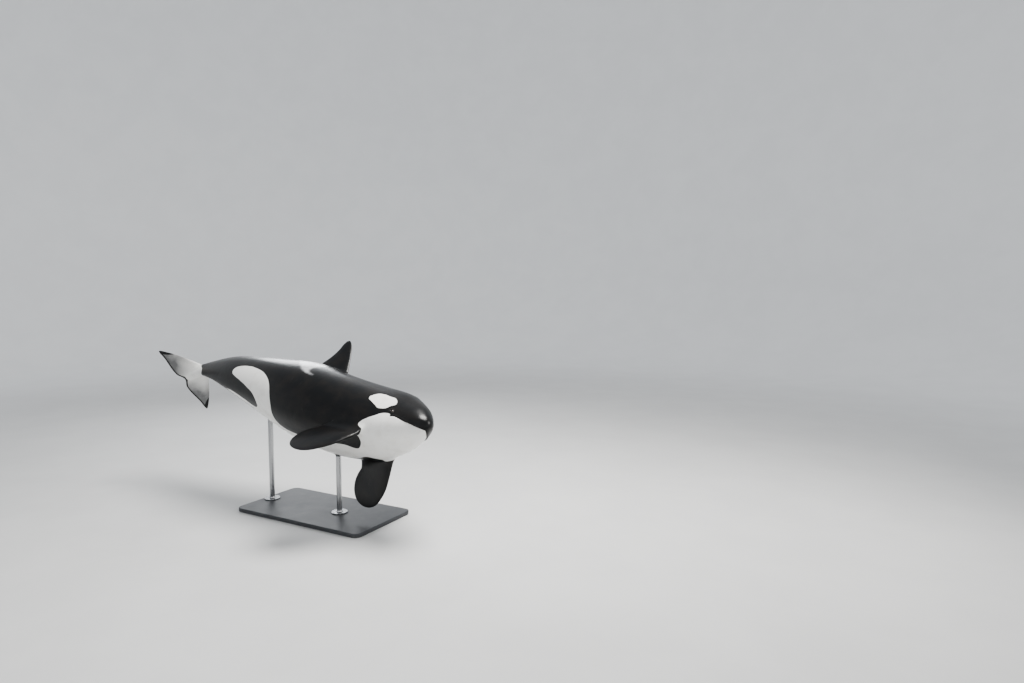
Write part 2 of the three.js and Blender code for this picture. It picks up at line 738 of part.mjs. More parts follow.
function addHead() {
  let head = solidOf(bodyLengthShell(0, headEnd).geometry());
  let jaw = solidOf(bodyLengthShell(0, headEnd, true).geometry());
  const sockets = [1, -1].map((side) => solidOf(eyeballGeometry(side, gap)));
  const openings = [1, -1].map((side) => {
    return solidOf(plugShell(eyeOutline(side, 1), eyePlace(side), cutHeight, eye.sunk).geometry());
  });
  for (const side of [1, -1]) head = head.add(lidSolid(side));
  const { up } = spineAt(0);
  const lip = tubeShell(mouthCurve(-lipRoll.radius * 0.55, lipRoll.above), () => lipRoll.radius, up, false);
  head = head.add(solidOf(lip.geometry()));
  head = head.add(blowholeRim());
  const slit = plugShell(blowholeOutline(1), blowholePlace, cutHeight, blowhole.depth);
  head = head.subtract(solidOf(slit.geometry()));
  for (const cut of [...sockets, ...openings]) head = head.subtract(cut);
  const groove = solidOf(tubeShell(mouthCurve(0, 0), () => mouthGrooveRadius, up, false).geometry());
  head = head.subtract(groove).subtract(jawBlock(gap));
  jaw = jaw.subtract(groove).intersect(jawBlock(0));
  addTo(swimmer, "head", geometryOf(largest(head)), blackSkin);
  addTo(swimmer, "lower_jaw", geometryOf(largest(jaw)), whiteSkin);
  addTo(swimmer, "eye_left", eyeballGeometry(1), eyeGloss);
  addTo(swimmer, "eye_right", eyeballGeometry(-1), eyeGloss);
}

function addBody() {
  addTo(swimmer, "torso_front", bodyLengthShell(headEnd, frontEnd).geometry(), blackSkin);
  addTo(swimmer, "torso_middle", bodyLengthShell(frontEnd, middleEnd).geometry(), blackSkin);
  addTo(swimmer, "torso_rear", bodyLengthShell(middleEnd, rearEnd).geometry(), blackSkin);
  addTo(swimmer, "tail_stock", bodyLengthShell(rearEnd, bodyLength).geometry(), blackSkin);
}

function addFins() {
  const onLeft = (angle) => angle;
  const onRight = (angle) => 180 - angle;
  const mirrored = (patch) => ({ ...patch, low: patch.high, high: patch.low });
  for (const [side, name, angleOf] of [[1, "left", onLeft], [-1, "right", onRight]]) {
    const flipperOn = side > 0 ? flipperPatch : mirrored(flipperPatch);
    const flukeOn = side > 0 ? flukePatch : mirrored(flukePatch);
    const flipper = finShell(flipperFin(side), flipperOn, angleOf, 10, 4);
    const fluke = finShell(flukeFin(side), flukeOn, angleOf, 10, 3);
    addTo(swimmer, `flipper_${name}`, flipper.geometry(), blackSkin);
    addTo(swimmer, `fluke_${name}`, fluke.geometry(), whiteSkin);
  }
  addTo(swimmer, "dorsal_fin", finShell(dorsalFin(), dorsalPatch, onLeft, 10, 3).geometry(), blackSkin);
}

function baseGeometry() {
  const { length, width, height, corner, bevel } = base;
  const [x, y] = [length / 2 - bevel - corner, width / 2 - bevel - corner];
  const outline = new THREE.Shape();
  outline.absarc(x, -y, corner, -Math.PI / 2, 0);
  outline.absarc(x, y, corner, 0, Math.PI / 2);
  outline.absarc(-x, y, corner, Math.PI / 2, Math.PI);
  outline.absarc(-x, -y, corner, Math.PI, 1.5 * Math.PI);
  outline.closePath();
  const plate = new THREE.ExtrudeGeometry(outline, {
    depth: height - 2 * bevel,
    bevelThickness: bevel,
    bevelSize: bevel,
    bevelSegments: 2,
    curveSegments: 6,
  });
  return plate.translate(0, 0, bevel);
}

// A rod turned in one piece: a flange on the base, the shaft, and a cup that widens under the belly
function rodGeometry({ x, y, top }) {
  const { radius, flangeRadius, flangeHeight, cupRadius, cupHeight, sides } = rod;
  const floor = base.height + gap;
  const profile = [
    [0, floor],
    [flangeRadius - 4, floor],
    [flangeRadius, floor + 4],
    [flangeRadius, floor + flangeHeight - 4],
    [flangeRadius - 4, floor + flangeHeight],
    [radius + 16, floor + flangeHeight],
    [radius + 5, floor + flangeHeight + 5],
    [radius, floor + flangeHeight + 16],
    [radius, top - cupHeight - 60],
    [radius + 14, top - cupHeight - 30],
    [cupRadius, top - cupHeight],
    [cupRadius, top],
    [0, top],
  ];
  const turned = new THREE.LatheGeometry(profile.map(([r, z]) => new THREE.Vector2(r, z)), sides);
  turned.rotateX(Math.PI / 2);
  return turned.translate(x, y, 0);
}

// The height of the body's underside over a point of the base
function bellyHeight(bodySolids, x, y) {
  const probe = new THREE.CylinderGeometry(2, 2, 4000, 8).rotateX(Math.PI / 2).translate(x, y, 2000);
  const column = solidOf(probe);
  const touched = bodySolids.map((solid) => solid.intersect(column)).filter((solid) => solid.volume() > 0);
  return Math.min(...touched.map((solid) => solid.boundingBox().min[2]));
}

function addStand() {
  addTo(part, "stand_base", baseGeometry(), paintedBase);
  part.updateMatrixWorld(true);
  const inWorld = (name, drop) => {
    const mesh = swimmer.getObjectByName(name);
    return solidOf(mesh.geometry.clone().applyMatrix4(mesh.matrixWorld).translate(0, 0, -drop));
  };
  const lengths = ["torso_front", "torso_middle", "torso_rear"];
  const resting = lengths.map((name) => inWorld(name, gap));
  for (const place of rods) {
    const under = bellyHeight(resting, place.x, place.y);
    let turned = solidOf(rodGeometry({ ...place, top: under + rod.cupHeight }));
    for (const solid of resting) turned = turned.subtract(solid);
    addTo(part, place.name, geometryOf(largest(turned)), brushedSteel);
  }
}

addHead();
addBody();
addFins();
addStand();

export default part;
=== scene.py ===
# A life-size orca in a banked turn, held over a display base by two rods.
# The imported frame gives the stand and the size. This script gives the animal one seamless skin with its
# markings, its eyes, the finish of the stand, and the studio with its light and camera.
# Metres, +X the way the torso heads, +Z up. `at` is the distance from the tip of the snout along the spine.
# `angle` goes round the body in degrees: 0 is the left side, 90 the back, 180 the right side, -90 the belly.
# `over` is the angle above the mouth line of either side, from -90 at the belly to 90 on the back.

import json
from types import SimpleNamespace

import bpy
import numpy as np
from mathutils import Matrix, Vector

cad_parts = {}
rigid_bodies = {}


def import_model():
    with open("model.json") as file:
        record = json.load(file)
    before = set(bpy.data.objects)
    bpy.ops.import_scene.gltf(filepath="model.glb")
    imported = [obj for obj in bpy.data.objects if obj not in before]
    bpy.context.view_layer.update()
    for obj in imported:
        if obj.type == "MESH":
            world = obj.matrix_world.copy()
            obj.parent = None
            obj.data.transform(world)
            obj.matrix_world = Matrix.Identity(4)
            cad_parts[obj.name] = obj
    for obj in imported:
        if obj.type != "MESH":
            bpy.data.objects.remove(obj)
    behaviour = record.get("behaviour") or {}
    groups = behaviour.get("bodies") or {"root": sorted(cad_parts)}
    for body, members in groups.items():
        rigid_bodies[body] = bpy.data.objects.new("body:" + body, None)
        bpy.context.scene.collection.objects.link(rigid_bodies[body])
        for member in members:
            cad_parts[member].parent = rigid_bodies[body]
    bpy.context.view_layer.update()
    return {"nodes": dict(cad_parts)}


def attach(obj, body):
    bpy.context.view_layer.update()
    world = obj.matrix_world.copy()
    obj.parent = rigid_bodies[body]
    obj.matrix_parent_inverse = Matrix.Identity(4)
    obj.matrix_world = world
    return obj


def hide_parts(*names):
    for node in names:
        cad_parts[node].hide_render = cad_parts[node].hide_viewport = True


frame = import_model()
nodes = frame["nodes"]
print("frame loaded:", len(nodes), "nodes")


# Sums

def ramp(place, start, end):  # a smooth step from 0 to 1, level at both ends
    t = np.clip((place - start) / (end - start), 0, 1)
    return t ** 3 * (t * (6 * t - 15) + 10)


def bell(distance, width):  # 1 at distance 0, falling off on both sides
    return np.exp(-(distance / width) ** 2)


def rounded(share):  # closes a round end: 1 at share 0 and 0 at share 1
    return np.sqrt(1 - np.clip(share, 0, 1) ** 3)


def unit(vectors):  # each vector divided by its own length
    return vectors / np.maximum(np.linalg.norm(vectors, axis=-1, keepdims=True), 1e-12)


def cosineSine(degrees):  # of an angle in degrees
    return np.cos(np.radians(degrees)), np.sin(np.radians(degrees))


def splineThrough(rows, place):
    # The natural cubic spline: its second slopes solve one equation for each inner row.
    rows = np.asarray(rows, float)
    x, y = rows[:, 0], rows[:, 1:]
    last = len(x) - 1
    width = np.diff(x)
    slope = np.diff(y, axis=0) / width[:, None]
    matrix = np.eye(last + 1)
    inner = np.arange(1, last)
    matrix[inner, inner - 1] = width[:-1]
    matrix[inner, inner] = 2 * (width[:-1] + width[1:])
    matrix[inner, inner + 1] = width[1:]
    right = np.zeros_like(y)
    right[inner] = 6 * np.diff(slope, axis=0)
    second = np.linalg.solve(matrix, right)
    place = np.clip(place, x[0], x[-1])
    i = np.clip(np.searchsorted(x, place, side="right") - 1, 0, last - 1)
    span = width[i][..., None]
    t = (place - x[i])[..., None] / span
    u = 1 - t
    bend = (u ** 3 - u) * second[i] + (t ** 3 - t) * second[i + 1]
    return u * y[i] + t * y[i + 1] + bend * span ** 2 / 6


metresPerDegree = 0.008  # near enough, to space points given in metres and degrees


def reachAlong(points):  # the distance run at each place of a line, in metres and degrees
    steps = np.linalg.norm(np.diff(points * [1, metresPerDegree], axis=0), axis=1)
    return np.concatenate([[0], np.cumsum(steps)])


def curveThrough(points, count):  # a spline through places in metres and degrees, evenly stepped
    points = np.asarray(points, float)
    reach = reachAlong(points)
    return splineThrough(np.column_stack([reach, points]), np.linspace(0, reach[-1], count))


def closedCurve(points, count):  # a smooth closed loop: the spline runs over its own start and is cut there
    run = np.vstack([points[-3:], points, points[:4]])
    reach = reachAlong(run)
    stops = np.linspace(reach[3], reach[3 + len(points)], count)
    return splineThrough(np.column_stack([reach, run]), stops[:-1])


def signedDistance(x, y, loop):
    # The distance to a closed outline, positive inside: the nearest of its edges, and an even or odd count
    # of crossings.
    nearest = np.full(x.shape, np.inf)
    inside = np.zeros(x.shape, bool)
    for (x1, y1), (x2, y2) in zip(loop, np.roll(loop, -1, axis=0)):
        dx, dy = x2 - x1, y2 - y1
        share = np.clip(((x - x1) * dx + (y - y1) * dy) / (dx * dx + dy * dy + 1e-18), 0, 1)
        nearest = np.minimum(nearest, (x - x1 - share * dx) ** 2 + (y - y1 - share * dy) ** 2)
        if y1 != y2:
            inside ^= ((y1 > y) != (y2 > y)) & (x < x1 + (y - y1) * dx / dy)
    return np.where(inside, 1, -1) * np.sqrt(nearest)


# The body

orca = {
    "length": 5.5,
    "originAt": 2.0,
    "pitch": -11.6,  # the whole animal: nose down
    "bank": 44.0,  # left side down
    "place": (0.25, 0.0, 1.6),
    # at, height of the back, depth of the belly, half width, level of the widest point, and the squareness
    # above and below
    "stations": [
        [0.00, 0.130, 0.090, 0.105, 0.000, 2.00, 2.00],
        [0.11, 0.190, 0.128, 0.158, -0.006, 2.00, 2.10],
        [0.28, 0.330, 0.200, 0.235, -0.014, 2.00, 2.20],
        [0.47, 0.452, 0.285, 0.307, -0.014, 2.00, 2.20],
        [0.72, 0.534, 0.388, 0.385, -0.024, 2.00, 2.20],
        [1.05, 0.562, 0.478, 0.470, -0.055, 2.00, 2.20],
        [1.50, 0.566, 0.558, 0.536, -0.070, 2.00, 2.15],
        [2.00, 0.570, 0.594, 0.557, -0.055, 2.00, 2.10],
        [2.53, 0.594, 0.567, 0.528, -0.016, 1.97, 2.05],
        [3.08, 0.518, 0.486, 0.450, 0.010, 1.95, 2.00],
        [3.63, 0.449, 0.408, 0.348, 0.022, 1.87, 1.92],
        [4.18, 0.380, 0.336, 0.236, 0.020, 1.77, 1.80],
        [4.68, 0.278, 0.236, 0.132, 0.014, 1.72, 1.75],
        [5.03, 0.156, 0.158, 0.087, 0.006, 1.80, 1.80],
        [5.28, 0.092, 0.092, 0.078, 0.000, 1.90, 1.90],
        [5.50, 0.022, 0.022, 0.066, 0.000, 2.00, 2.00],
    ],
    "snoutRound": 0.176,
    "tailRoundFrom": 5.17,
    "lipShear": 0.42,  # the forward lean of the front sections
    "lipShearEnd": 0.55,
    "lowerLipInset": 0.013,
    "mouthCornerAt": 0.485,
    # towards the snout, from, to, yaw, pitch, roll
    "bends": [
        [True, 0.11, 2.09, -26.7, -1.0, 0.0],
        [False, 1.925, 4.40, -4.2, -2.1, 15.3],
        [False, 3.575, 5.50, -10.5, 13.0, 0.0],
        [False, 4.87, 5.31, 0.0, 30.4, 0.0],
    ],
    "spineStep": 0.005,
    "normalSteps": (0.004, 0.8),  # metres and degrees to either side, for the slope of the skin
}


def axesOf(yaw, pitch, roll):  # three perpendicular directions as columns: forward, left and up
    a, b, c = np.radians(np.broadcast_arrays(yaw, pitch, roll))
    forward = np.stack([np.cos(a) * np.cos(b), np.sin(a) * np.cos(b), np.sin(b)], -1)
    level = np.stack([-np.sin(a), np.cos(a), np.zeros_like(a)], -1)
    over = np.cross(forward, level)
    left = level * np.cos(c)[..., None] - over * np.sin(c)[..., None]
    return np.stack([forward, left, np.cross(forward, left)], -1)


def makeSpine(values):  # the directions at each step of the spine, and the line that they add up to
    at = np.arange(0, values["length"] + values["spineStep"] / 2, values["spineStep"])
    turn = np.zeros((3, len(at)))
    for towardSnout, start, end, *degrees in values["bends"]:
        grown = ramp(at, start, end)
        turn += np.outer(degrees, 1 - grown if towardSnout else grown)
    axes = axesOf(*turn)
    steps = (axes[1:, :, 0] + axes[:-1, :, 0]) / 2 * values["spineStep"]
    line = np.vstack([np.zeros(3), -np.cumsum(steps, axis=0)])
    return at, axes, line - line[round(values["originAt"] / values["spineStep"])]


spineSteps, spineAxes, spineLine = makeSpine(orca)


def spineAt(at):  # the middle and the directions of a section, mixed from the two nearest steps of the spine
    inside = np.clip(at, 0, orca["length"])
    i = np.minimum((inside / orca["spineStep"]).astype(int), len(spineSteps) - 2)
    t = (inside / orca["spineStep"] - i)[..., None]
    middle = spineLine[i] * (1 - t) + spineLine[i + 1] * t
    axes = spineAxes[i] * (1 - t[..., None]) + spineAxes[i + 1] * t[..., None]
    return middle + axes[..., 0] * (inside - at)[..., None], axes


def smoothBody(at, angle):
    # A section is two half superellipses, upper and lower, closed at the snout and the tail, leaning forward
    # at the front and carried by the spine.
    at, angle = np.broadcast_arrays(np.asarray(at, float), np.asarray(angle, float))
    back, belly, half, level, squareTop, squareLow = np.moveaxis(splineThrough(orca["stations"], at), -1, 0)
    snout = rounded(1 - at / orca["snoutRound"])
    closing = snout * rounded((at - orca["tailRoundFrom"]) / (orca["length"] - orca["tailRoundFrom"]))
    sine, cosine = np.sin(np.radians(angle)), np.cos(np.radians(angle))
    level = level * snout
    height = np.maximum(np.where(sine >= 0, back * closing - level, belly * closing + level), 1e-6)
    width = np.maximum(half * closing, 1e-6)
    power = np.where(sine >= 0, squareTop, squareLow)
    radius = ((np.abs(cosine) / width) ** power + (np.abs(sine) / height) ** power) ** (-1 / power)
    lean = orca["lipShear"] * radius * sine * (1 - ramp(at, 0, orca["lipShearEnd"]))
    middle, axes = spineAt(at)
    local = np.stack([lean, radius * cosine, level + radius * sine], -1)
    return middle + np.einsum("...ij,...j->...i", axes, local), radius


def bodyNormal(at, angle):  # outward: the cross product of the skin's slopes along and round the body
    at, angle = np.asarray(at), np.asarray(angle)
    step, turn = orca["normalSteps"]
    alongBody = smoothBody(at + step, angle)[0] - smoothBody(at - step, angle)[0]
    roundBody = smoothBody(at, angle + turn)[0] - smoothBody(at, angle - turn)[0]
    return unit(np.cross(alongBody, roundBody))


def raised(at, angle, height):  # points of the smooth body, moved out along its normals
    return smoothBody(at, angle)[0] + bodyNormal(at, angle) * height[..., None]


def overOf(angle):  # the angle above the mouth line of its own side
    wrapped = (np.asarray(angle, float) + 90) % 360 - 90
    return np.where(wrapped > 90, 180 - wrapped, wrapped)


# The forms of the head that stand out of the smooth body, as heights along its normals

eye = {
    "at": 0.500, "over": 15.0, "radius": 0.030, "sunk": 0.026, "halfLength": 0.027, "halfHeight": 0.017,
    "tilt": -8.0, "bulge": 0.004, "bulgeWidth": 0.040,
    "cornerPower": 0.35, "lowerFullness": 0.8,  # how pointed the corners are, and how full the lower lid
    "rows": (0.44, 0.56), "columns": (9, 18), "rings": 20,
    "crowding": 1.7, "stretch": 1.35,  # the power by which the rings gather at the lids, and a stretch upwards
    # the folds of the lids: height, distance from their edge, width, the lower lid's share, and more above
    "folds": [[0.0026, 0.0045, 0.0040, 0.7, 0.5], [-0.0021, 0.0105, 0.0026, 0.5, 0.5],
              [0.0015, 0.0165, 0.0045, 0.0, 1.0]],
    "foldsFull": 0.35,  # the share of the way to the lids at which the folds are at their full height
    # the wrinkles of the rear corner: height, number in a full turn, distance from the edge, width, and where
    "wrinkles": (0.0009, 16, 0.013, 0.010), "wrinkledCorner": (0.55, 0.95),
    "edgeShare": 0.55, "edgeLift": 0.0012,  # the lids' edge: a share of the ball's height, and metres more
    "upperLid": (-0.5, 0.5),  # the sines between which the lower lid passes into the upper
    "ballEdge": 0.97,  # the share of its radius up to which the ball's height is taken
    "settle": (0.55, 1.0), "flattened": 0.4,  # on the way to the edge the folds give way to it, by this much
    # the rings behind the lids' edge: scale, and lift over the ball
    "inside": [[0.97, 0.0010], [0.945, 0.0002], [0.92, -0.0012], [0.85, -0.004], [0.6, -0.009]],
    "insideMiddle": -0.012, "insideMark": -0.05,
}
mouth = {
    # place, and degrees above the level of the widest point: high before the corner, low round the front
    "line": [[0.0, -17.0], [0.022, -14.0], [0.067, -10.0], [0.127, -6.0], [0.215, -1.5], [0.305, 1.6],
             [0.39, 3.4], [0.44, 2.1], [0.475, 0.0], [0.52, 0.0], [0.60, 0.0]],
    "groove": 0.0075, "grooveWidth": 0.0032, "grooveBelow": 0.001,
    "grooveAtSnout": 0.35,  # the share of its depth that it keeps at the tip of the snout
    "roll": 0.0034, "rollAbove": 0.014, "rollWidth": 0.011,
    "lowerRoll": 0.0020, "lowerRollBelow": -0.016, "lowerRollWidth": 0.012,
    "beak": 0.0045, "beakAbove": 0.072, "beakWidth": 0.024, "beakEnd": 0.20,
    "frontEnd": 0.06,  # the step and the inset of the jaw are full up to here
    "insetEdge": (-0.0015, 0.0045), "insetSides": (0.3, 0.98),  # metres below the line, and the angle's sine
    "cornerFade": (-0.03, 0.012),  # metres behind the corner over which the lips end
    # each fold behind the corner has a tilt and a share of the height
    "cornerFold": 0.0025, "cornerFoldLength": 0.030, "cornerFoldWidth": 0.0035,
    "cornerFolds": [[0.25, 1.0], [-0.55, 0.6]],
}
blowhole = {
    "at": 0.640, "angle": 93.0, "halfWidth": 0.045, "halfLength": 0.0075, "bow": 0.016, "depth": 0.032,
    "thickness": 1.1, "hornThinning": 0.6,  # of the crescent, in half lengths
    "rows": (0.56, 0.72), "reach": (78.0, 106.0), "rings": 14, "crowding": 1.6, "stretch": 0.8,
    "rim": 0.0026, "rimAt": 0.004, "rimWidth": 0.012, "rimBalance": (0.6, 0.4),  # at the sides, more behind
    "plug": 0.0035, "plugAhead": 0.026, "plugWidth": 0.028, "plugStretch": 0.8,
    "formsFull": 0.4,  # the share of the way to the slit at which rim and plug are at their full height
    # the rings of the slit: scale, and share of the depth
    "inside": [[0.80, 0.0375], [0.55, 0.140625], [0.42, 0.3125], [0.36, 0.5625], [0.30, 1.0]],
    "slitNarrowing": 0.97, "bottomBelow": 0.002,
}
eyeLevel = float(smoothBody(eye["at"], eye["over"])[1])  # from the middle of the body to the skin at the eye
tiltCosine, tiltSine = cosineSine(eye["tilt"])


def eyeOffset(at, over):  # metres ahead of and above the eye's centre, turned to the tilt of the lids
    ahead, rise = eye["at"] - at, np.radians(over - eye["over"]) * eyeLevel
    return ahead * tiltCosine + rise * tiltSine, rise * tiltCosine - ahead * tiltSine


def eyePlace(ahead, rise):  # the reverse of eyeOffset
    up = np.degrees((ahead * tiltSine + rise * tiltCosine) / eyeLevel)
    return eye["at"] - (ahead * tiltCosine - rise * tiltSine), eye["over"] + up


def mouthLine(at):  # its degrees above the widest level, by a spline along the head
    return splineThrough(mouth["line"], np.asarray(at, float))[..., 0]


def headRelief(at, over):
    # Metres out of the smooth body: bells and ramps of the distance above the mouth line and along the head
    radius = smoothBody(at, over)[1]
    above = radius * np.sin(np.radians(over - mouthLine(at)))
    corner = orca["mouthCornerAt"]
    inMouth = 1 - ramp(at, corner + mouth["cornerFade"][0], corner + mouth["cornerFade"][1])
    snout = rounded(1 - at / orca["snoutRound"])
    # The lower jaw is set in under the lip, least at the corner of the mouth.
    sides = 1 - ramp(np.abs(np.sin(np.radians(over))), *mouth["insetSides"])
    inset = orca["lowerLipInset"] * sides * (1 - ramp(at, mouth["frontEnd"], corner)) * snout
    height = -inset * ramp(-above, *mouth["insetEdge"])
    full = mouth["grooveAtSnout"] + (1 - mouth["grooveAtSnout"]) * snout
    height -= mouth["groove"] * bell(above + mouth["grooveBelow"], mouth["grooveWidth"]) * inMouth * full
    for roll, middle in (("roll", "rollAbove"), ("lowerRoll", "lowerRollBelow")):
        height += mouth[roll] * bell(above - mouth[middle], mouth[roll + "Width"]) * inMouth * snout
    # The shallow step between the forehead and the lip
    beak = (1 - ramp(at, mouth["frontEnd"], mouth["beakEnd"])) * snout
    height -= mouth["beak"] * bell(above - mouth["beakAbove"], mouth["beakWidth"]) * beak
    # The short folds behind the corner of the mouth, highest half their length behind it
    fold = mouth["cornerFold"] * bell((at - corner) / mouth["cornerFoldLength"] - 0.5, 0.75)
    for tilt, share in mouth["cornerFolds"]:
        height -= fold * share * bell(above - tilt * (at - corner), mouth["cornerFoldWidth"])
    height += eye["bulge"] * bell(np.hypot(*eyeOffset(at, over)), eye["bulgeWidth"])
    return height


def bodySkin(at, angle):  # the smooth body with its forms, in the animal's own frame
    at, angle = np.broadcast_arrays(np.asarray(at, float), np.asarray(angle, float))
    return raised(at, angle, headRelief(at, overOf(angle)))


# Markings: outlines in `at` and `over`, alike on both sides, measured as if the skin were unrolled

markings = {
    # up at the corner of the mouth, back and down behind the chin, along the belly
    "chinEdge": [
        (0.474, -0.5), (0.480, 3.6), (0.495, 5.5), (0.53, 5.6), (0.59, 3.5), (0.64, 0.0), (0.70, -5.8),
        (0.775, -11.5), (0.845, -16.8), (0.915, -23.0), (0.95, -26.6), (0.988, -29.0),
    ],
    "chestEdge": [
        (0.988, -29.0), (0.958, -35.5), (0.938, -44.0), (0.915, -53.5), (0.912, -61.0), (0.95, -69.0),
        (1.03, -76.0), (1.11, -74.0), (1.20, -69.5), (1.32, -68.0), (1.60, -71.5), (2.00, -77.0),
        (2.30, -81.5), (2.46, -83.0), (2.55, -81.5), (2.625, -76.8),
    ],
    "lobeFront": [
        (2.625, -76.8), (2.672, -70.5), (2.695, -64.5), (2.722, -53.5), (2.765, -44.0), (2.825, -33.0),
        (2.90, -23.5), (2.985, -17.8), (3.105, -12.8), (3.29, -9.6), (3.445, -9.2), (3.595, -10.5),
        (3.725, -14.0), (3.84, -19.5), (3.915, -27.0), (3.942, -35.5), (3.928, -43.0), (3.875, -47.5),
    ],
    "lobeRear": [
        (3.875, -47.5), (3.76, -49.8), (3.615, -51.5), (3.48, -53.0), (3.345, -55.0), (3.24, -57.0),
        (3.175, -60.5), (3.115, -66.0), (3.075, -74.0),
    ],
    "rearProng": [
        (3.075, -74.0), (3.115, -79.5), (3.215, -83.5), (3.325, -84.8), (3.50, -84.8), (3.70, -85.2),
        (3.86, -86.0), (4.02, -90.0),
    ],
    "eyePatch": [
        (1.035, 24.0), (1.05, 27.5), (1.04, 31.0), (1.005, 36.5), (0.96, 40.3), (0.89, 42.5),
        (0.81, 43.5), (0.735, 44.0), (0.685, 45.0), (0.635, 45.0), (0.58, 42.5), (0.547, 38.0),
        (0.534, 33.0), (0.556, 28.5), (0.585, 23.0), (0.61, 17.0), (0.66, 13.0), (0.71, 11.2),
        (0.765, 10.8), (0.815, 13.5), (0.90, 18.0), (0.975, 21.0),
    ],
    "saddle": [
        (3.06, 92.0), (3.02, 72.0), (2.93, 56.0), (2.82, 45.0), (2.70, 36.0), (2.58, 28.0), (2.46, 23.0),
        (2.36, 21.8), (2.26, 23.0), (2.375, 26.5), (2.41, 33.0), (2.39, 41.0), (2.325, 50.0),
        (2.30, 56.0), (2.39, 61.0), (2.52, 68.0), (2.62, 78.0), (2.66, 92.0),
    ],
    # where the dark stock ends below, by `over`
    "stockEdge": [[-90, 4.960], [-66, 4.978], [-45, 5.018], [-29, 5.048], [-6, 5.050], [12, 5.03]],
    "notchEdge": 5.458,  # from here back the notch is dark
    # how far the chin's white climbs a flipper's root, how much farther at the leading edge, and the
    # border's rounding
    "finRise": {"Left": (0.026, 0.018, 0.11), "Right": (0.026, 0.058, 0.11)},
    "stockHalf": 0.08,  # about half the stock's width, to measure round it
    "flukeTrim": 0.031,  # the dark trailing edge of the flukes' underside
    "flukeTip": 0.74,  # the share of a fluke's leading edge that is white below
    "flukeTipSlant": 0.20, "flukeTipPace": 0.6,  # farther at the trailing edge, and how steeply it ends
    "flukeRim": 0.004, "flukeDark": 0.002,  # metres past the leading edge below, and into the dark above
    "outside": -0.2,  # a distance from a marking that no wavering of its border bridges
    # grey over the white of a fluke, partly its real smoky border and partly painted shade: from and to, as
    # shares of the reach and of the chord, and how much
    "smokeAndPaintedShadeOut": (0.10, 0.80, 0.90), "smokeAndPaintedShadeBehind": (0.15, 1.0, 0.75),
    # the stretch of the mouth line that bounds the white, and the degrees from it down to the white
    "lipFrom": -0.02, "lipTo": 0.474, "belowLip": 0.5,
    # points in unrolled metres beyond the body's middle line, which close an outline
    "whiteClosing": [(4.02, -2), (-0.02, -2)], "saddleClosing": [(2.66, 2), (3.06, 2)],
    "lineSteps": 90, "loopSteps": 220, "lipSteps": 60,
}


def unrolled(at, over):  # metres along and round the body: the angle times the half width there
    half = splineThrough(orca["stations"], at)[..., 2]
    return at, np.radians(over) * half


def outlineOf(names, closing, start=()):
    # The named lines joined, after a start, and closed by points in unrolled metres beyond the body's own
    # middle line
    lines = [curveThrough(markings[name], markings["lineSteps"]) for name in names]
    loop = np.vstack([*start, *lines])
    return np.vstack([np.stack(unrolled(loop[:, 0], loop[:, 1]), -1), closing])


lipPlaces = np.linspace(markings["lipFrom"], markings["lipTo"], markings["lipSteps"])
lipLine = np.stack([lipPlaces, mouthLine(lipPlaces) - markings["belowLip"]], -1)
whiteLoop = outlineOf(["chinEdge", "chestEdge", "lobeFront", "lobeRear", "rearProng"],
                      markings["whiteClosing"], start=[lipLine])
eyePatchLoop = np.stack(unrolled(*closedCurve(markings["eyePatch"], markings["loopSteps"]).T), -1)
saddleLoop = outlineOf(["saddle"], markings["saddleClosing"])


def markingsAt(at, over):
    # Distances into the white, the largest of its three fields, and into the grey of the saddle
    x, y = unrolled(at, over)
    white = np.maximum(signedDistance(x, y, whiteLoop), signedDistance(x, y, eyePatchLoop))
    below = np.radians(-np.asarray(over, float)) * markings["stockHalf"]
    stockEdge = splineThrough(markings["stockEdge"], over)[..., 0]
    underFluke = np.minimum(np.minimum(at - stockEdge, markings["notchEdge"] - at), below)
    return np.stack([np.maximum(white, underFluke), signedDistance(x, y, saddleLoop)], -1)


# The skin's mesh is gathered piece by piece: points with their markings, and faces. `ease` says how far a
# point gives way when the roots of the fins are rounded, and the smoke value is the grey that veils the
# flukes' white: partly their real smoky border, partly painted shade towards the tip and the trailing edge.
skin = {"points": [], "marks": [], "ease": [], "smoke": [], "quads": [], "triangles": [], "count": 0}


def addPoints(points, marks, ease=0.0, smoke=0.0):
    # Each value is spread over all the points. Their numbers come back in the points' own arrangement.
    shape, first = points.shape[:-1], skin["count"]
    skin["points"].append(points.reshape(-1, 3))
    skin["marks"].append(np.broadcast_to(marks, shape + (2,)).reshape(-1, 2))
    skin["ease"].append(np.broadcast_to(ease, shape).ravel())
    skin["smoke"].append(np.broadcast_to(smoke, shape).ravel())
    skin["count"] += points.size // 3
    return np.arange(first, skin["count"]).reshape(shape)


def addQuads(a, b, c, d):  # one face for each place in the four arrays of corners
    skin["quads"].append(np.stack([a.ravel(), b.ravel(), c.ravel(), d.ravel()], -1))


def growRing(ring, points, marks, ease=0.0, smoke=0.0):
    # A new ring of points inside a closed one, with a face for each pair of neighbours
    after = addPoints(points, marks, ease, smoke)
    addQuads(ring, np.roll(ring, -1), np.roll(after, -1), after)
    return after


def fan(ring, tip):  # the triangles from each pair of neighbours in a closed ring to one point
    return np.stack([ring, np.roll(ring, -1), np.full(ring.shape, tip)], -1)


def closeRing(ring, tip):  # fills a ring of the skin by a fan
    skin["triangles"].append(fan(ring, tip))


# The grid of the body: rows along it and columns round it, with holes for the fins, the eyes and the blowhole

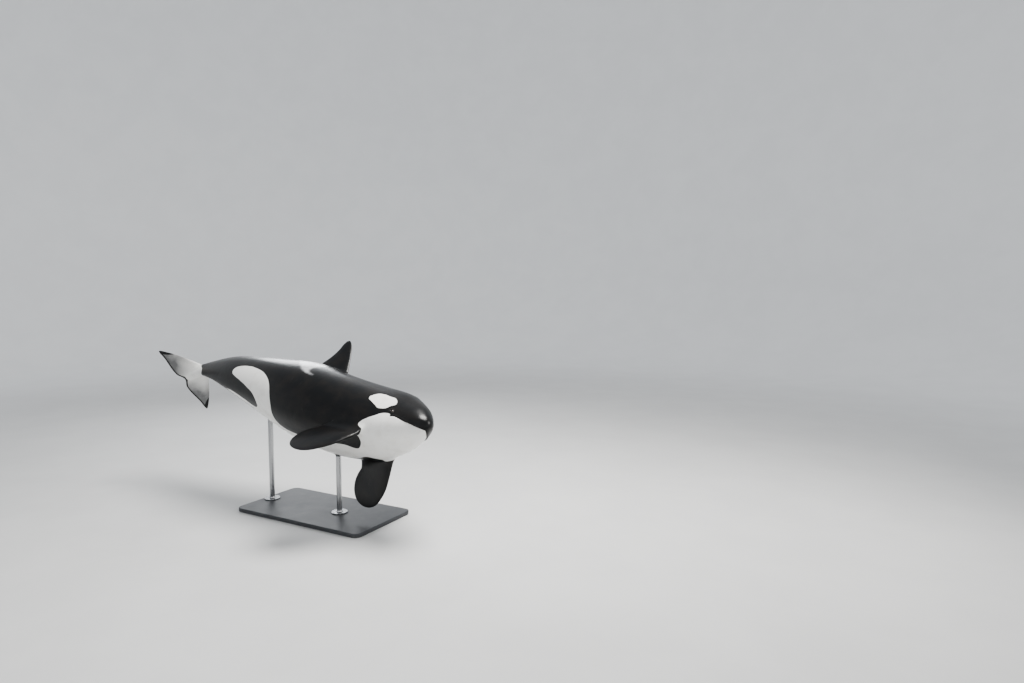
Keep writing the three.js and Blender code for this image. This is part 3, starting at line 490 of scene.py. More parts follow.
grid = {
    # the end of each stretch and its number of cells
    "rows": [[0.176, 22], [0.44, 30], [0.56, 16], [0.72, 18], [0.80, 6], [1.40, 44], [2.13, 36], [2.87, 38],
             [4.05, 50], [4.87, 34], [5.05, 12], [5.49, 32], [5.50, 4]],
    # from the belly up the left side to the back
    "columns": [[-44, 20], [-26, 10], [0, 20], [26, 20], [44, 8], [82, 16], [90, 4]],
    "mouthReach": 26,  # within this angle the columns crowd towards the mouth line, on the head
    "mouthCrowding": 0.6, "crowdingEnd": (0.60, 0.72),
}
patches = {
    "flipper": {"rows": (0.80, 1.40), "angles": (-44, -26)},
    "dorsal": {"rows": (2.13, 2.87), "angles": (82, 98)},
    "fluke": {"rows": (5.05, 5.49), "angles": (-44, 44)},
}


def stretchedPlaces(start, stretches):  # each stretch is cut into equal cells
    places = [np.array([start])]
    for end, cells in stretches:
        places.append(start + (end - start) * np.arange(1, cells + 1) / cells)
        start = end
    return np.concatenate(places)


rowPlaces = stretchedPlaces(0.0, grid["rows"])
nose, notch = grid["rows"][0][1], grid["rows"][-1][1]
rowPlaces[:nose] = orca["snoutRound"] * (np.arange(nose) / nose) ** 2
tailPlaces = (orca["length"] - rowPlaces[-notch - 1]) * (1 - np.arange(1, notch + 1) / notch) ** 2
rowPlaces[-notch:] = orca["length"] - tailPlaces
leftAngles = stretchedPlaces(-90.0, grid["columns"])
columnAngles = np.concatenate([leftAngles, 180 - leftAngles[1:-1][::-1]])
columnCount = len(columnAngles)


def gridAngles():  # the angle of each grid point, crowded towards the mouth line on the head by a power
    over = overOf(columnAngles)
    share = np.clip(np.abs(over) / grid["mouthReach"], 0, 1)
    crowding = grid["mouthCrowding"] * (1 - ramp(rowPlaces, *grid["crowdingEnd"]))[:, None]
    crowded = np.where(share < 1, np.sign(over) * grid["mouthReach"] * share ** (1 + crowding), over)
    crowded = crowded + mouthLine(rowPlaces)[:, None] * (1 - share ** 2) ** 2
    return np.where(columnAngles > 90, 180 - crowded, crowded)


def rowAt(place):  # the row nearest to a place
    return int(np.argmin(np.abs(rowPlaces - place)))


def columnAt(angle):  # the column nearest to an angle
    return int(np.argmin(np.abs(columnAngles - angle)))


def cellsOf(side, rows, columns):  # the rows and columns of a patch, mirrored for the right side
    low, high = columns if side > 0 else (columnCount - columns[1], columnCount - columns[0])
    return rowAt(rows[0]), rowAt(rows[1]), low, high


def edgeOf(patch):  # the grid points round a patch, in the order that the fins are drawn in
    top, end, low, high = patch
    i = np.concatenate([np.arange(top, end), np.full(high - low, end), np.arange(end, top, -1),
                        np.full(high - low, top)])
    j = np.concatenate([np.full(end - top, low), np.arange(low, high), np.full(end - top, high),
                        np.arange(high, low, -1)])
    return i, j


sides = {"Left": 1, "Right": -1}
finColumns = {kind: [columnAt(angle) for angle in patch["angles"]] for kind, patch in patches.items()}
holes = {"dorsal": cellsOf(1, patches["dorsal"]["rows"], finColumns["dorsal"]),
         "blowhole": cellsOf(1, blowhole["rows"], [columnAt(angle) for angle in blowhole["reach"]])}
for name, side in sides.items():
    holes["eye" + name] = cellsOf(side, eye["rows"], [columnAt(0) + column for column in eye["columns"]])
    for kind in ("flipper", "fluke"):
        holes[kind + name] = cellsOf(side, patches[kind]["rows"], finColumns[kind])
rounding = {"cells": 7, "passes": 26, "markPasses": 7, "pace": 0.6, "finFrom": 0.15, "finTo": 0.8}


def easeOf(patch):  # 1 at a fin's patch, falling to 0 some cells away from it
    rows, columns = np.arange(len(rowPlaces))[:, None], np.arange(columnCount)
    top, end, low, high = patch
    away = np.hypot(np.maximum(np.maximum(top - rows, rows - end), 0),
                    np.maximum(np.maximum(low - columns, columns - high), 0))
    return 1 - ramp(away, 0, rounding["cells"])


angles = gridAngles()
atGrid = np.broadcast_to(rowPlaces[:, None], angles.shape)
bodyPoints = bodySkin(atGrid, angles)
bodyMarks = markingsAt(atGrid, overOf(angles))
finHoles = [patch for name, patch in holes.items() if name.startswith(tuple(patches))]
bodyEase = np.max([easeOf(patch) for patch in finHoles], axis=0)
bodyIndex = addPoints(bodyPoints[1:-1], bodyMarks[1:-1], bodyEase[1:-1])
bodyIndex = np.vstack([bodyIndex[:1], bodyIndex, bodyIndex[-1:]])  # rows 0 and last are the two poles

keep = np.ones((len(rowPlaces) - 1, columnCount), bool)
keep[0] = keep[-1] = False
for top, end, low, high in holes.values():
    keep[top:end, low:high] = False
nextColumn = np.roll(bodyIndex, -1, axis=1)
addQuads(bodyIndex[1:][keep], nextColumn[1:][keep], nextColumn[:-1][keep], bodyIndex[:-1][keep])
poles = addPoints(bodyPoints[[0, -1], 0], bodyMarks[[0, -1], 0], bodyEase[[0, -1], 0])
closeRing(bodyIndex[1], poles[0])
closeRing(bodyIndex[-2][::-1], poles[1])
print("body:", bodyIndex.size, "points")


# Fins: an origin, three directions and a plan that gives, for a share of the reach, how far out, where the
# leading edge lies, the chord, the half thickness and the lift

fins = {
    # rings: along the fin, and in the flow of its root. tip: where it starts to close, and by what power
    "flipper": {"at": 0.97, "angle": -37, "reach": 0.87, "width": 0.65, "half": 0.052, "curl": 0.051,
                "start": 0.33, "slant": 0.5, "rings": (26, 12), "tip": (0.6, 2.4), "tipThinning": (0.6, 2.2),
                "left": {"sweep": 43.5, "droop": 41, "twist": 4.5},
                "right": {"sweep": 50.5, "droop": 44, "twist": 7},
                "rows": [[0, 0.64, 0.05, 1.15], [0.15, 0.78, 0.05, 1.05], [0.35, 0.94, 0.043, 0.89],
                         [0.6, 1, 0.06, 0.65], [0.85, 0.96, 0.11, 0.42], [1, 0.9, 0.16, 0.3]]},
    "dorsal": {"at": 2.164, "height": 0.607, "base": 0.641, "sweep": 0.377, "half": 0.047, "sunk": 0.022,
               "lean": 1.9, "start": 0.14, "slant": 0, "rings": (26, 10), "tip": (0.75, 2.2),
               "tipThinning": (0.8, 2.2),
               "rows": [[0, 0, 1, 1], [0.25, 0.22, 0.74, 0.79], [0.5, 0.46, 0.52, 0.6],
                        [0.75, 0.72, 0.34, 0.44], [1, 1, 0.22, 0.3]]},
    "fluke": {"at": 5.068, "reach": 0.636, "chord": 0.449, "half": 0.047, "droop": -3.2, "axisAt": 5.33,
              "start": 0.22, "slant": 0, "rings": (22, 8), "tip": (0.86, 2.2),
              "straight": (0.7, 0.85),  # from these shares of its chord back it leaves the body straight
              "lead": [[0, 0], [0.15, 0.05], [0.4, 0.26], [0.7, 0.56], [0.9, 0.81], [1, 0.93]],
              "trail": [[0, 0.98], [0.12, 1.06], [0.3, 1.1], [0.6, 1.05], [0.85, 1.02], [1, 1.05]],
              "thick": [[0, 1.2], [0.3, 0.7], [0.7, 0.4], [1, 0.1]]},
}
finSection = {
    "fullness": 1.84, "tailPower": 0.75,
    "tipMiddle": 0.42,  # the share of its chord that the tip of the back fin or of a fluke closes towards
    "slopeShare": 0.02, "crowding": 1.5,  # where the root's slope is taken, and how rings gather at the tip
    "black": -0.12, "tipMark": -0.1,  # metres away from both markings, on a fin and at its tip
}


def tipRounding(share, start, power):  # 1 up to the start, then the root of 1 less a power, 0 at the tip
    return np.sqrt(1 - np.clip((share - start) / (1 - start), 0, 1) ** power)


def flipperFin(side):
    # Its directions are the body's, turned by the sweep, the droop and the twist of its pose.
    v = fins["flipper"]
    pose = v["left" if side > 0 else "right"]
    sweep, droop, twist = np.radians([pose["sweep"], pose["droop"], pose["twist"]])
    forward, left, up = spineAt(np.array(v["at"]))[1].T
    out = (side * left * np.cos(sweep) - forward * np.sin(sweep)) * np.cos(droop) - up * np.sin(droop)
    flat = unit(-forward + out * (out @ forward))
    over = -side * np.cross(flat, out)

    def plan(share):  # the chord, its middle and the thickness by splines, closed at the tip
        chordShare, middleShare, thickShare = np.moveaxis(splineThrough(v["rows"], share), -1, 0)
        chord = v["width"] * chordShare * tipRounding(share, *v["tip"])
        half = v["half"] * thickShare * tipRounding(share, *v["tipThinning"])
        return v["reach"] * share, v["width"] * middleShare - chord / 2, chord, half, -v["curl"] * share ** 2

    angle = v["angle"] if side > 0 else 180 - v["angle"]
    return {**v, "origin": smoothBody(v["at"], angle)[0], "out": out, "turn": -side, "plan": plan,
            "chordwise": flat * np.cos(twist) + over * np.sin(twist),
            "over": over * np.cos(twist) - flat * np.sin(twist)}


def dorsalFin():
    # Its directions are the body's, leaned over.
    v = fins["dorsal"]
    forward, left, up = spineAt(np.array(v["at"]))[1].T
    c, s = cosineSine(v["lean"])

    def plan(share):  # the leading edge, the chord and the thickness by splines, closed at the tip
        leadShare, chordShare, thickShare = np.moveaxis(splineThrough(v["rows"], share), -1, 0)
        whole, closing = v["base"] * chordShare, tipRounding(share, *v["tip"])
        lead = v["sweep"] * leadShare + whole * (1 - closing) * finSection["tipMiddle"]
        half = v["half"] * thickShare * tipRounding(share, *v["tipThinning"])
        return v["height"] * share - v["sunk"] * (1 - share), lead, whole * closing, half, 0 * share

    return {**v, "origin": smoothBody(v["at"], 90)[0], "out": up * c + left * s, "turn": 1, "plan": plan,
            "chordwise": -forward, "over": left * c - up * s}


def flukeFin(side):
    # Its directions are the stock's, drooped.
    v = fins["fluke"]
    middle, axes = spineAt(np.array(v["axisAt"]))
    forward, left, up = axes.T
    c, s = cosineSine(v["droop"])

    def plan(share):  # both edges and the thickness by splines, closed at the tip
        lead, trail, thick = (splineThrough(v[key], share)[..., 0] for key in ("lead", "trail", "thick"))
        whole, closing = v["chord"] * (trail - lead), tipRounding(share, *v["tip"])
        lead = v["chord"] * lead + whole * (1 - closing) * finSection["tipMiddle"]
        return v["reach"] * share, lead, whole * closing, v["half"] * thick * closing, 0 * share

    return {**v, "origin": middle + forward * (v["axisAt"] - v["at"]), "out": side * left * c + up * s,
            "turn": -side, "plan": plan, "chordwise": -forward, "over": up * c - side * left * s,
            "smoke": flukeSmokeAndPaintedShade}


def finRing(fin, outward, count, startCell):
    # The section of a fin: a round nose and a fine trailing edge, its thickness the root of the chord's share
    # times a power of the rest
    phase = 2 * np.pi * fin["turn"] * (np.arange(count) + startCell) / count
    back = (1 - np.cos(phase)) / 2
    share = outward + (1 - outward) * (fin["start"] + fin["slant"] * (back - 0.5))
    distance, lead, chord, half, lift = (value[:, None] for value in fin["plan"](share))
    thick = finSection["fullness"] * np.sqrt(back) * (1 - back) ** finSection["tailPower"]
    thick = (thick * np.sign(np.sin(phase)))[:, None]
    points = (fin["origin"] + fin["out"] * distance + fin["chordwise"] * (lead + chord * back[:, None])
              + fin["over"] * (lift + half * thick))
    return points, share, back, np.sin(phase), chord[:, 0]


def addFin(fin, patch, marksOf, climb=None):
    # The skin leaves the patch's edge along the body and arrives along the fin: a cubic between two slopes.
    i, j = edgeOf(patch)
    low, high = patch[2:]
    count, startCell = len(i), (high - low) / 2
    column = j % columnCount
    start, normal = bodyPoints[i, column], bodyNormal(atGrid[i, column], angles[i, column])
    first, *rest = finRing(fin, 0, count, startCell)
    second = finRing(fin, finSection["slopeShare"], count, startCell)[0]
    distance = np.linalg.norm(first - start, axis=1, keepdims=True)
    across, back = first - start, rest[1]
    leave = unit(across - normal * np.sum(across * normal, 1, keepdims=True)) * distance
    if "straight" in fin:
        leave += (across - leave) * ramp(back, *fin["straight"])[:, None]
    arrive = unit(second - first) * distance
    startMarks, firstMarks = bodyMarks[i, column], marksOf(*rest)
    ring = bodyIndex[i, column]
    # The flukes' grey over the white, partly their real smoky border and partly painted shade, grows in along
    # the root.
    smokeAndPaintedShadeOf = fin.get("smoke", lambda share, back: 0 * share)
    rings, flow = fin["rings"]
    for step in range(1, flow + 1):
        t = step / (flow + 1)
        points = (start * (2 * t ** 3 - 3 * t ** 2 + 1) + leave * (t ** 3 - 2 * t ** 2 + t)
                  + first * (3 * t ** 2 - 2 * t ** 3) + arrive * (t ** 3 - t ** 2))
        marks = startMarks * (1 - t) + firstMarks * t
        if climb:  # the white of the body ends this far up the fin's root, farther at the leading edge
            risen = np.linalg.norm(points - start, axis=1)
            reach = climb[0] + climb[1] * (1 - back) ** 3
            inward = 1 - np.clip(startMarks[:, 0] / climb[2], 0, 1)
            marks[:, 0] = np.minimum(startMarks[:, 0], (1 - np.hypot(risen / reach, inward)) * reach)
        ease = 1 - ramp(t, rounding["finFrom"], rounding["finTo"])
        ring = growRing(ring, points, marks, ease, t * smokeAndPaintedShadeOf(*rest[:2]))
    for step in range(rings):
        outward = 1 - (1 - step / rings) ** finSection["crowding"]
        points, *rest = finRing(fin, outward, count, startCell)
        ring = growRing(ring, points, marksOf(*rest), 0, smokeAndPaintedShadeOf(*rest[:2]))
    tip = finRing(fin, 1, 2, 0)[0][:1]
    closeRing(ring, addPoints(tip, finSection["tipMark"])[0])


def blackFin(share, back, sine, chord):  # far from the white and from the saddle everywhere
    return np.full(share.shape + (2,), finSection["black"])


# The grey over a fluke's white: partly its real smoky border, partly painted shade.
def flukeSmokeAndPaintedShade(share, back):  # more towards the tip and the trailing edge
    out, behind = markings["smokeAndPaintedShadeOut"], markings["smokeAndPaintedShadeBehind"]
    return np.clip(out[2] * ramp(share, *out[:2]) + behind[2] * ramp(back, *behind[:2]), 0, 1)


def flukeMarks(share, back, sine, chord):
    # White below: the smallest of the distances from the trailing edge, the tip and the leading edge
    v = fins["fluke"]
    fromLead, fromTrail = back * chord, (1 - back) * chord
    fromTip = markings["flukeTip"] + markings["flukeTipSlant"] * back - share
    fromTip = fromTip * v["reach"] * markings["flukeTipPace"]
    white = np.minimum(fromLead + markings["flukeRim"], fromTrail - markings["flukeTrim"])
    above = -np.minimum(fromLead, fromTrail) - markings["flukeDark"]
    white = np.where(sine < 0, np.minimum(white, fromTip), above)
    return np.stack([white, np.full(share.shape, markings["outside"])], -1)


for name, side in sides.items():
    addFin(flipperFin(side), holes["flipper" + name], blackFin, markings["finRise"][name])
    addFin(flukeFin(side), holes["fluke" + name], flukeMarks)
addFin(dorsalFin(), holes["dorsal"], blackFin)
print("fins:", skin["count"], "points in all")


# Eyes: the skin runs in rings from the hole's edge to the almond of the lids, over their edge and in behind
# the ball.

def almond(turn, scale):  # pointed towards both corners and fuller above than below
    fullness = np.where(np.sin(turn) > 0, 1.0, eye["lowerFullness"])
    rise = np.sin(turn) * np.abs(np.sin(turn)) ** eye["cornerPower"] * eye["halfHeight"] * fullness
    return np.cos(turn) * eye["halfLength"] * scale, rise * scale


def ballHeight(ahead, rise):  # how high the eyeball stands over the skin, where it lies under it
    across = np.minimum(np.hypot(ahead, rise), eye["radius"] * eye["ballEdge"])
    return np.sqrt(eye["radius"] ** 2 - across ** 2) - eye["sunk"]


def lidFolds(ahead, rise, turn):  # bells round set distances from the lids' edge, wavy at the rear corner
    edgeAhead, edgeRise = almond(turn, 1.0)
    away = np.hypot(ahead - edgeAhead, rise - edgeRise)
    upper = ramp(np.sin(turn), *eye["upperLid"])
    height = 0
    for fold, foldAt, width, low, more in eye["folds"]:
        height = height + fold * (low + more * upper) * bell(away - foldAt, width)
    wrinkle, number, wrinkleAt, width = eye["wrinkles"]
    corner = ramp(-np.cos(turn), *eye["wrinkledCorner"])
    return height + wrinkle * corner * np.cos(turn * number) * bell(away - wrinkleAt, width)


def addEye(side, patch):
    # Rings from the hole's edge to the lids, where the head's forms give way to the height of the ball, and
    # then inward under it
    i, j = edgeOf(patch)
    column = j % columnCount
    ring = bodyIndex[i, column]
    edgeAhead, edgeRise = eyeOffset(atGrid[i, column], overOf(angles[i, column]))
    turn = np.arctan2(edgeRise * eye["stretch"], edgeAhead)
    lidAhead, lidRise = almond(turn, 1.0)
    lidEdge = ballHeight(lidAhead, lidRise) * eye["edgeShare"] + eye["edgeLift"]

    def place(ahead, rise, height):  # a ring's points at a height over the skin, and their markings
        at, over = eyePlace(ahead, rise)
        return raised(at, over if side > 0 else 180 - over, height), markingsAt(at, over)

    for step in range(1, eye["rings"] + 1):
        w = 1 - (1 - step / eye["rings"]) ** eye["crowding"]
        ahead, rise = edgeAhead + (lidAhead - edgeAhead) * w, edgeRise + (lidRise - edgeRise) * w
        settle = ramp(w, *eye["settle"])
        folds = lidFolds(ahead, rise, turn) * ramp(w, 0.0, eye["foldsFull"])
        height = headRelief(*eyePlace(ahead, rise)) * (1 - settle) + folds
        height = height * (1 - eye["flattened"] * settle) + lidEdge * settle
        ring = growRing(ring, *place(ahead, rise, height))
    for step, (scale, lift) in enumerate(eye["inside"]):
        ahead, rise = lidAhead * scale, lidRise * scale
        low = ballHeight(ahead, rise) + lift
        height = np.minimum(low, lidEdge) if step else (low + lidEdge) / 2
        ring = growRing(ring, place(ahead, rise, height)[0], eye["insideMark"])
    middle = place(np.zeros(1), np.zeros(1), np.array([eye["insideMiddle"]]))[0]
    closeRing(ring, addPoints(middle, eye["insideMark"])[0])


# Blowhole: a crescent whose horns point to the snout, with a raised rim behind and a soft plug in front

def crescent(turn, scale):  # an oval bent by the square of the cosine: metres to the right, and metres behind
    across = np.cos(turn) * (blowhole["halfWidth"] + (scale - 1) * blowhole["halfLength"])
    thickness = blowhole["thickness"] - blowhole["hornThinning"] * np.cos(turn) ** 2
    behind = np.sin(turn) * blowhole["halfLength"] * scale * thickness
    return across, behind - blowhole["bow"] * np.cos(turn) ** 2


def addBlowhole(patch):
    # Rings from the hole's edge to the crescent, raised by bells for the rim and the plug, and then down the
    # slit
    v = blowhole
    i, j = edgeOf(patch)
    radius = float(smoothBody(v["at"], 90)[1])
    edgeBehind, edgeAcross = atGrid[i, j] - v["at"], np.radians(v["angle"] - angles[i, j]) * radius
    turn = np.arctan2(edgeBehind + v["bow"] / 2, edgeAcross * v["stretch"])
    slitAcross, slitBehind = crescent(turn, 1.0)
    ring = bodyIndex[i, j]

    def place(across, behind, height):  # a ring's points at a height over the skin, and their markings
        at, angle = v["at"] + behind, v["angle"] - np.degrees(across / radius)
        return raised(at, angle, height), markingsAt(at, overOf(angle))

    for step in range(1, v["rings"] + 1):
        w = 1 - (1 - step / v["rings"]) ** v["crowding"]
        across = edgeAcross + (slitAcross - edgeAcross) * w
        behind = edgeBehind + (slitBehind - edgeBehind) * w
        away = np.hypot(across - slitAcross, behind - slitBehind)
        balance = v["rimBalance"][0] + v["rimBalance"][1] * np.sin(turn)
        rim = v["rim"] * bell(away - v["rimAt"], v["rimWidth"]) * balance
        plug = v["plug"] * bell(np.hypot(across * v["plugStretch"], behind + v["plugAhead"]), v["plugWidth"])
        lip = (rim + plug) * ramp(w, 0.0, v["formsFull"])
        ring = growRing(ring, *place(across, behind, lip))
    for scale, share in v["inside"]:
        across, behind = crescent(turn, scale)
        height = lip * (1 - share) - share * v["depth"]
        ring = growRing(ring, *place(across * v["slitNarrowing"], behind, height))
    bottom = place(np.zeros(1), np.zeros(1), np.array([-v["depth"] - v["bottomBelow"]]))
    closeRing(ring, addPoints(*bottom)[0])


for name, side in sides.items():
    addEye(side, holes["eye" + name])
addBlowhole(holes["blowhole"])
print("eyes and blowhole:", skin["count"], "points in all")


def roundRoots(values, passes):
    # Step by step, each value near a fin's root moves by its point's ease towards the mean of its
    # neighbours'. Each face gives each of its corners the next one as a neighbour.
    ease = np.concatenate(skin["ease"]) * rounding["pace"]
    faces = [np.vstack(skin[kind]) for kind in ("quads", "triangles")]
    here = np.concatenate([face.ravel() for face in faces])
    there = np.concatenate([np.roll(face, -1, axis=1).ravel() for face in faces])
    near = ease[here] > 0
    here, there = here[near], there[near]
    neighbours = np.maximum(np.bincount(here, minlength=len(ease)), 1)
    for _ in range(passes):
        sums = [np.bincount(here, weights=column[there], minlength=len(ease)) for column in values.T]
        values = values + ease[:, None] * (np.stack(sums, -1) / neighbours[:, None] - values)
    return values


# Meshes

swimmerAxes = axesOf(0, orca["pitch"], orca["bank"])


def placed(points):  # from the animal's own frame to the model's: turned, then moved
    return points @ swimmerAxes.T + np.array(orca["place"])


def makeMesh(name, points, quads, triangles, attributes=None):
    # Whole arrays go to Blender: points, the corners of all faces and where each face starts, and attributes.
    mesh = bpy.data.meshes.new(name)
    corners = np.concatenate([quads.ravel(), triangles.ravel()]).astype(np.int32)
    sizes = np.repeat([4, 3], [len(quads), len(triangles)])
    starts = np.concatenate([[0], np.cumsum(sizes)[:-1]]).astype(np.int32)
    mesh.vertices.add(len(points))
    mesh.vertices.foreach_set("co", points.astype(np.float32).ravel())
    mesh.loops.add(len(corners))
    mesh.loops.foreach_set("vertex_index", corners)
    mesh.polygons.add(len(sizes))
    mesh.polygons.foreach_set("loop_start", starts)
    mesh.update(calc_edges=True)
    mesh.polygons.foreach_set("use_smooth", np.ones(len(sizes), bool))
    for label, values in (attributes or {}).items():
        kind, key = ("FLOAT", "value") if values.ndim == 1 else ("FLOAT_VECTOR", "vector")
        mesh.attributes.new(label, kind, "POINT").data.foreach_set(key, values.astype(np.float32).ravel())
    mesh.validate()
    made = bpy.data.objects.new(name, mesh)
    bpy.context.scene.collection.objects.link(made)
    return made


def makeSkin():
    # The gathered pieces as one mesh, its fins' roots rounded, without the points that no face uses
    points = roundRoots(np.vstack(skin["points"]), rounding["passes"])
    marks = roundRoots(np.vstack(skin["marks"]), rounding["markPasses"])
    quads, triangles = np.vstack(skin["quads"]), np.vstack(skin["triangles"])
    used = np.unique(np.concatenate([quads.ravel(), triangles.ravel()]))
    number = np.zeros(skin["count"], int)
    number[used] = np.arange(len(used))
    made = makeMesh("orca_skin", placed(points[used]), number[quads], number[triangles],
                    {"whiteEdge": marks[used, 0], "saddleEdge": marks[used, 1],
                     "smoke": np.concatenate(skin["smoke"])[used]})
    made.data.materials.append(skinMaterial())
    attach(made, "root")
    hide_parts("head", "lower_jaw", "torso_front", "torso_middle", "torso_rear", "tail_stock",
                "dorsal_fin", "flipper_left", "flipper_right", "fluke_left", "fluke_right")
    return made


# Materials

def newMaterial(name):
    # A material with one shader, and short ways to its nodes. Inputs take the output of a node or a value.
    made = bpy.data.materials.new(name)
    made.use_nodes = True
    tree = made.node_tree
    tree.nodes.clear()
    output = tree.nodes.new("ShaderNodeOutputMaterial")
    shader = tree.nodes.new("ShaderNodeBsdfPrincipled")
    tree.links.new(shader.outputs[0], output.inputs[0])

    def feed(item, inputs):  # an output is linked, a value is set
        for key, value in inputs.items():
            if isinstance(value, bpy.types.NodeSocket):
                tree.links.new(value, item.inputs[key])
            else:
                item.inputs[key].default_value = value

    def node(kind, inputs=(), output=0, **properties):  # adds a node and gives one of its outputs
        item = tree.nodes.new("ShaderNode" + kind)
        for key, value in properties.items():
            setattr(item, key, value)
        feed(item, dict(inputs))
        return item.outputs[output]

    def math(operation, *values, clamp=False):  # the operation's result
        return node("Math", enumerate(values), operation=operation, use_clamp=clamp)

    def times(first, second):  # their product
        return math("MULTIPLY", first, second)

    def total(first, *others):  # their sum
        for other in others:
            first = math("ADD", first, other)
        return first

    def mix(share, first, second):  # two colours
        return node("Mix", {0: share, 6: first, 7: second}, 2, data_type="RGBA")

    def step(value, low, high):  # a smooth step from 0 at low to 1 at high
        return node("MapRange", {0: value, 1: low, 2: high, 3: 0.0, 4: 1.0}, interpolation_type="SMOOTHSTEP")

    def noise(scale, detail=3.0, roughness=0.55, vector=None):  # from 0 to 1, over the object or a vector
        inputs = {"Vector": vector or place, "Scale": scale, "Detail": detail, "Roughness": roughness}
        return node("TexNoise", inputs, "Fac")

    def sway(amount, *noiseValues, vector=None):  # a noise about 0, this wide from end to end
        return times(math("SUBTRACT", noise(*noiseValues, vector=vector), 0.5), amount)

    def spots(low, high, *noiseValues):  # 1 where a noise is high, 0 where it is low
        return step(noise(*noiseValues), low, high)

    def attribute(label, output="Fac"):  # what the mesh's points say
        return node("Attribute", (), output, attribute_name=label)

    def bump(strength, height):  # height in metres
        return node("Bump", {"Strength": strength, "Distance": 1.0, "Height": height})

    def shade(inputs):  # the shader's own inputs
        feed(shader, inputs)

    place = node("TexCoord", (), "Object")
    return SimpleNamespace(made=made, place=place, node=node, math=math, times=times, total=total, mix=mix,
                           step=step, noise=noise, sway=sway, spots=spots, attribute=attribute, bump=bump,
                           shade=shade)


# A noise is given by its scale, detail and roughness. Before them stand the width of a field that sways, or
# the two levels between which spots come up.

skinFinish = {
    "black": (0.0050, 0.0054, 0.0062, 1), "blackWarm": (0.0110, 0.0098, 0.0090, 1),
    "white": (0.83, 0.825, 0.80, 1), "whiteShade": (0.70, 0.685, 0.645, 1), "whiteShadeShare": 0.7,
    "saddle": (0.40, 0.405, 0.415, 1), "saddleDark": (0.25, 0.253, 0.26, 1), "saddleSoft": (-0.030, 0.034),
    # the smoke colour is the grey over the flukes' white: partly their real smoky border, partly painted shade
    "scratch": (0.060, 0.060, 0.062, 1), "scratchShare": 0.85, "smoke": (0.17, 0.17, 0.172, 1),
    "edgeWave": (0.014, 7.0, 2.0), "edgeWobble": (0.0045, 60.0, 3.0), "edgeSoft": 0.0014,
    "saddleFeather": (0.060, 13.0, 6.0, 0.66), "smokeAndPaintedShadeClouds": (0.9, 6.0, 6.0, 0.62),
    "blackMottle": (0.38, 0.70, 5.0, 5.0, 0.6), "whiteMottle": (0.45, 0.80, 7.0, 5.0, 0.62),
    "saddleMottle": (0.36, 0.72, 9.0, 6.0, 0.62),
    # sets of parallel tooth rakes: the turn, the scale, and how high the set's broad noise has to be
    "rakes": [[0.5, 2.3, 0.66], [1.9, 1.7, 0.68], [-0.7, 2.9, 0.69]], "rakeSoft": 0.05,
    "rakeTurn": (0.3, 1.7), "rakeShift": 3, "rakeScale": 9.0, "rakeLines": (0.965, 0.998),
    "rakeBends": {"Distortion": 1.6, "Detail": 2.0, "Detail Scale": 0.35},
    "rakeBreaks": (0.40, 0.62, 26.0, 3.0), "rakeRoughness": 0.12, "rakeDepth": 0.0006,
    "roughness": 0.31, "gloss": (0.12, 11.0, 4.0), "specular": 0.30, "coat": 0.12, "coatRoughness": 0.12,
    "grain": (0.00022, 420.0, 3.0), "dents": (0.0016, 14.0, 3.0, 0.5), "bump": 0.7,
}


def skinMaterial():
    # White, grey or black by the distances into the markings, whose borders waver by noise
    m, v = newMaterial("orca_skin"), skinFinish
    whiteEdge = m.total(m.attribute("whiteEdge"), m.sway(*v["edgeWave"]), m.sway(*v["edgeWobble"]))
    isWhite = m.step(whiteEdge, -v["edgeSoft"], v["edgeSoft"])
    isSaddle = m.step(m.total(m.attribute("saddleEdge"), m.sway(*v["saddleFeather"])), *v["saddleSoft"])
    rakes = 0.0
    for turn, scale, cut in v["rakes"]:
        turned = m.node("Mapping", {"Vector": m.place, "Location": (turn * v["rakeShift"], scale, 0.0),
                                    "Rotation": (v["rakeTurn"][0], turn, turn * v["rakeTurn"][1])})
        inputs = {"Vector": turned, "Scale": v["rakeScale"] + scale, **v["rakeBends"]}
        bands = m.node("TexWave", inputs, "Fac", wave_type="BANDS", bands_direction="X")
        where = m.step(m.noise(scale, 2.0, vector=turned), cut, cut + v["rakeSoft"])
        rakes = m.math("MAXIMUM", rakes, m.times(m.step(bands, *v["rakeLines"]), where))
    rakes = m.times(rakes, m.spots(*v["rakeBreaks"]))
    black = m.mix(m.spots(*v["blackMottle"]), v["black"], v["blackWarm"])
    black = m.mix(m.times(rakes, v["scratchShare"]), black, v["scratch"])
    grey = m.mix(m.spots(*v["saddleMottle"]), v["saddle"], v["saddleDark"])
    shaded = m.times(m.spots(*v["whiteMottle"]), v["whiteShadeShare"])
    # The grey veil over the flukes' white: partly their real smoky border, partly painted shade.
    smokeAndPaintedShadeVeil = m.math("MULTIPLY", m.attribute("smoke"), m.total(m.sway(*v["smokeAndPaintedShadeClouds"]), 1.0), clamp=True)
    pale = m.mix(smokeAndPaintedShadeVeil, m.mix(shaded, v["white"], v["whiteShade"]), v["smoke"])
    roughness = m.total(m.sway(*v["gloss"]), v["roughness"], m.times(rakes, v["rakeRoughness"]))
    # Fine skin grain, faint dents and the rakes, as one height
    height = m.total(m.sway(*v["grain"]), m.sway(*v["dents"]), m.times(rakes, -v["rakeDepth"]))
    m.shade({"Base Color": m.mix(isWhite, m.mix(isSaddle, black, grey), pale), "Roughness": roughness,
             "Specular IOR Level": v["specular"], "Coat Weight": v["coat"],
             "Coat Roughness": v["coatRoughness"], "Normal": m.bump(v["bump"], height)})
    return m.made


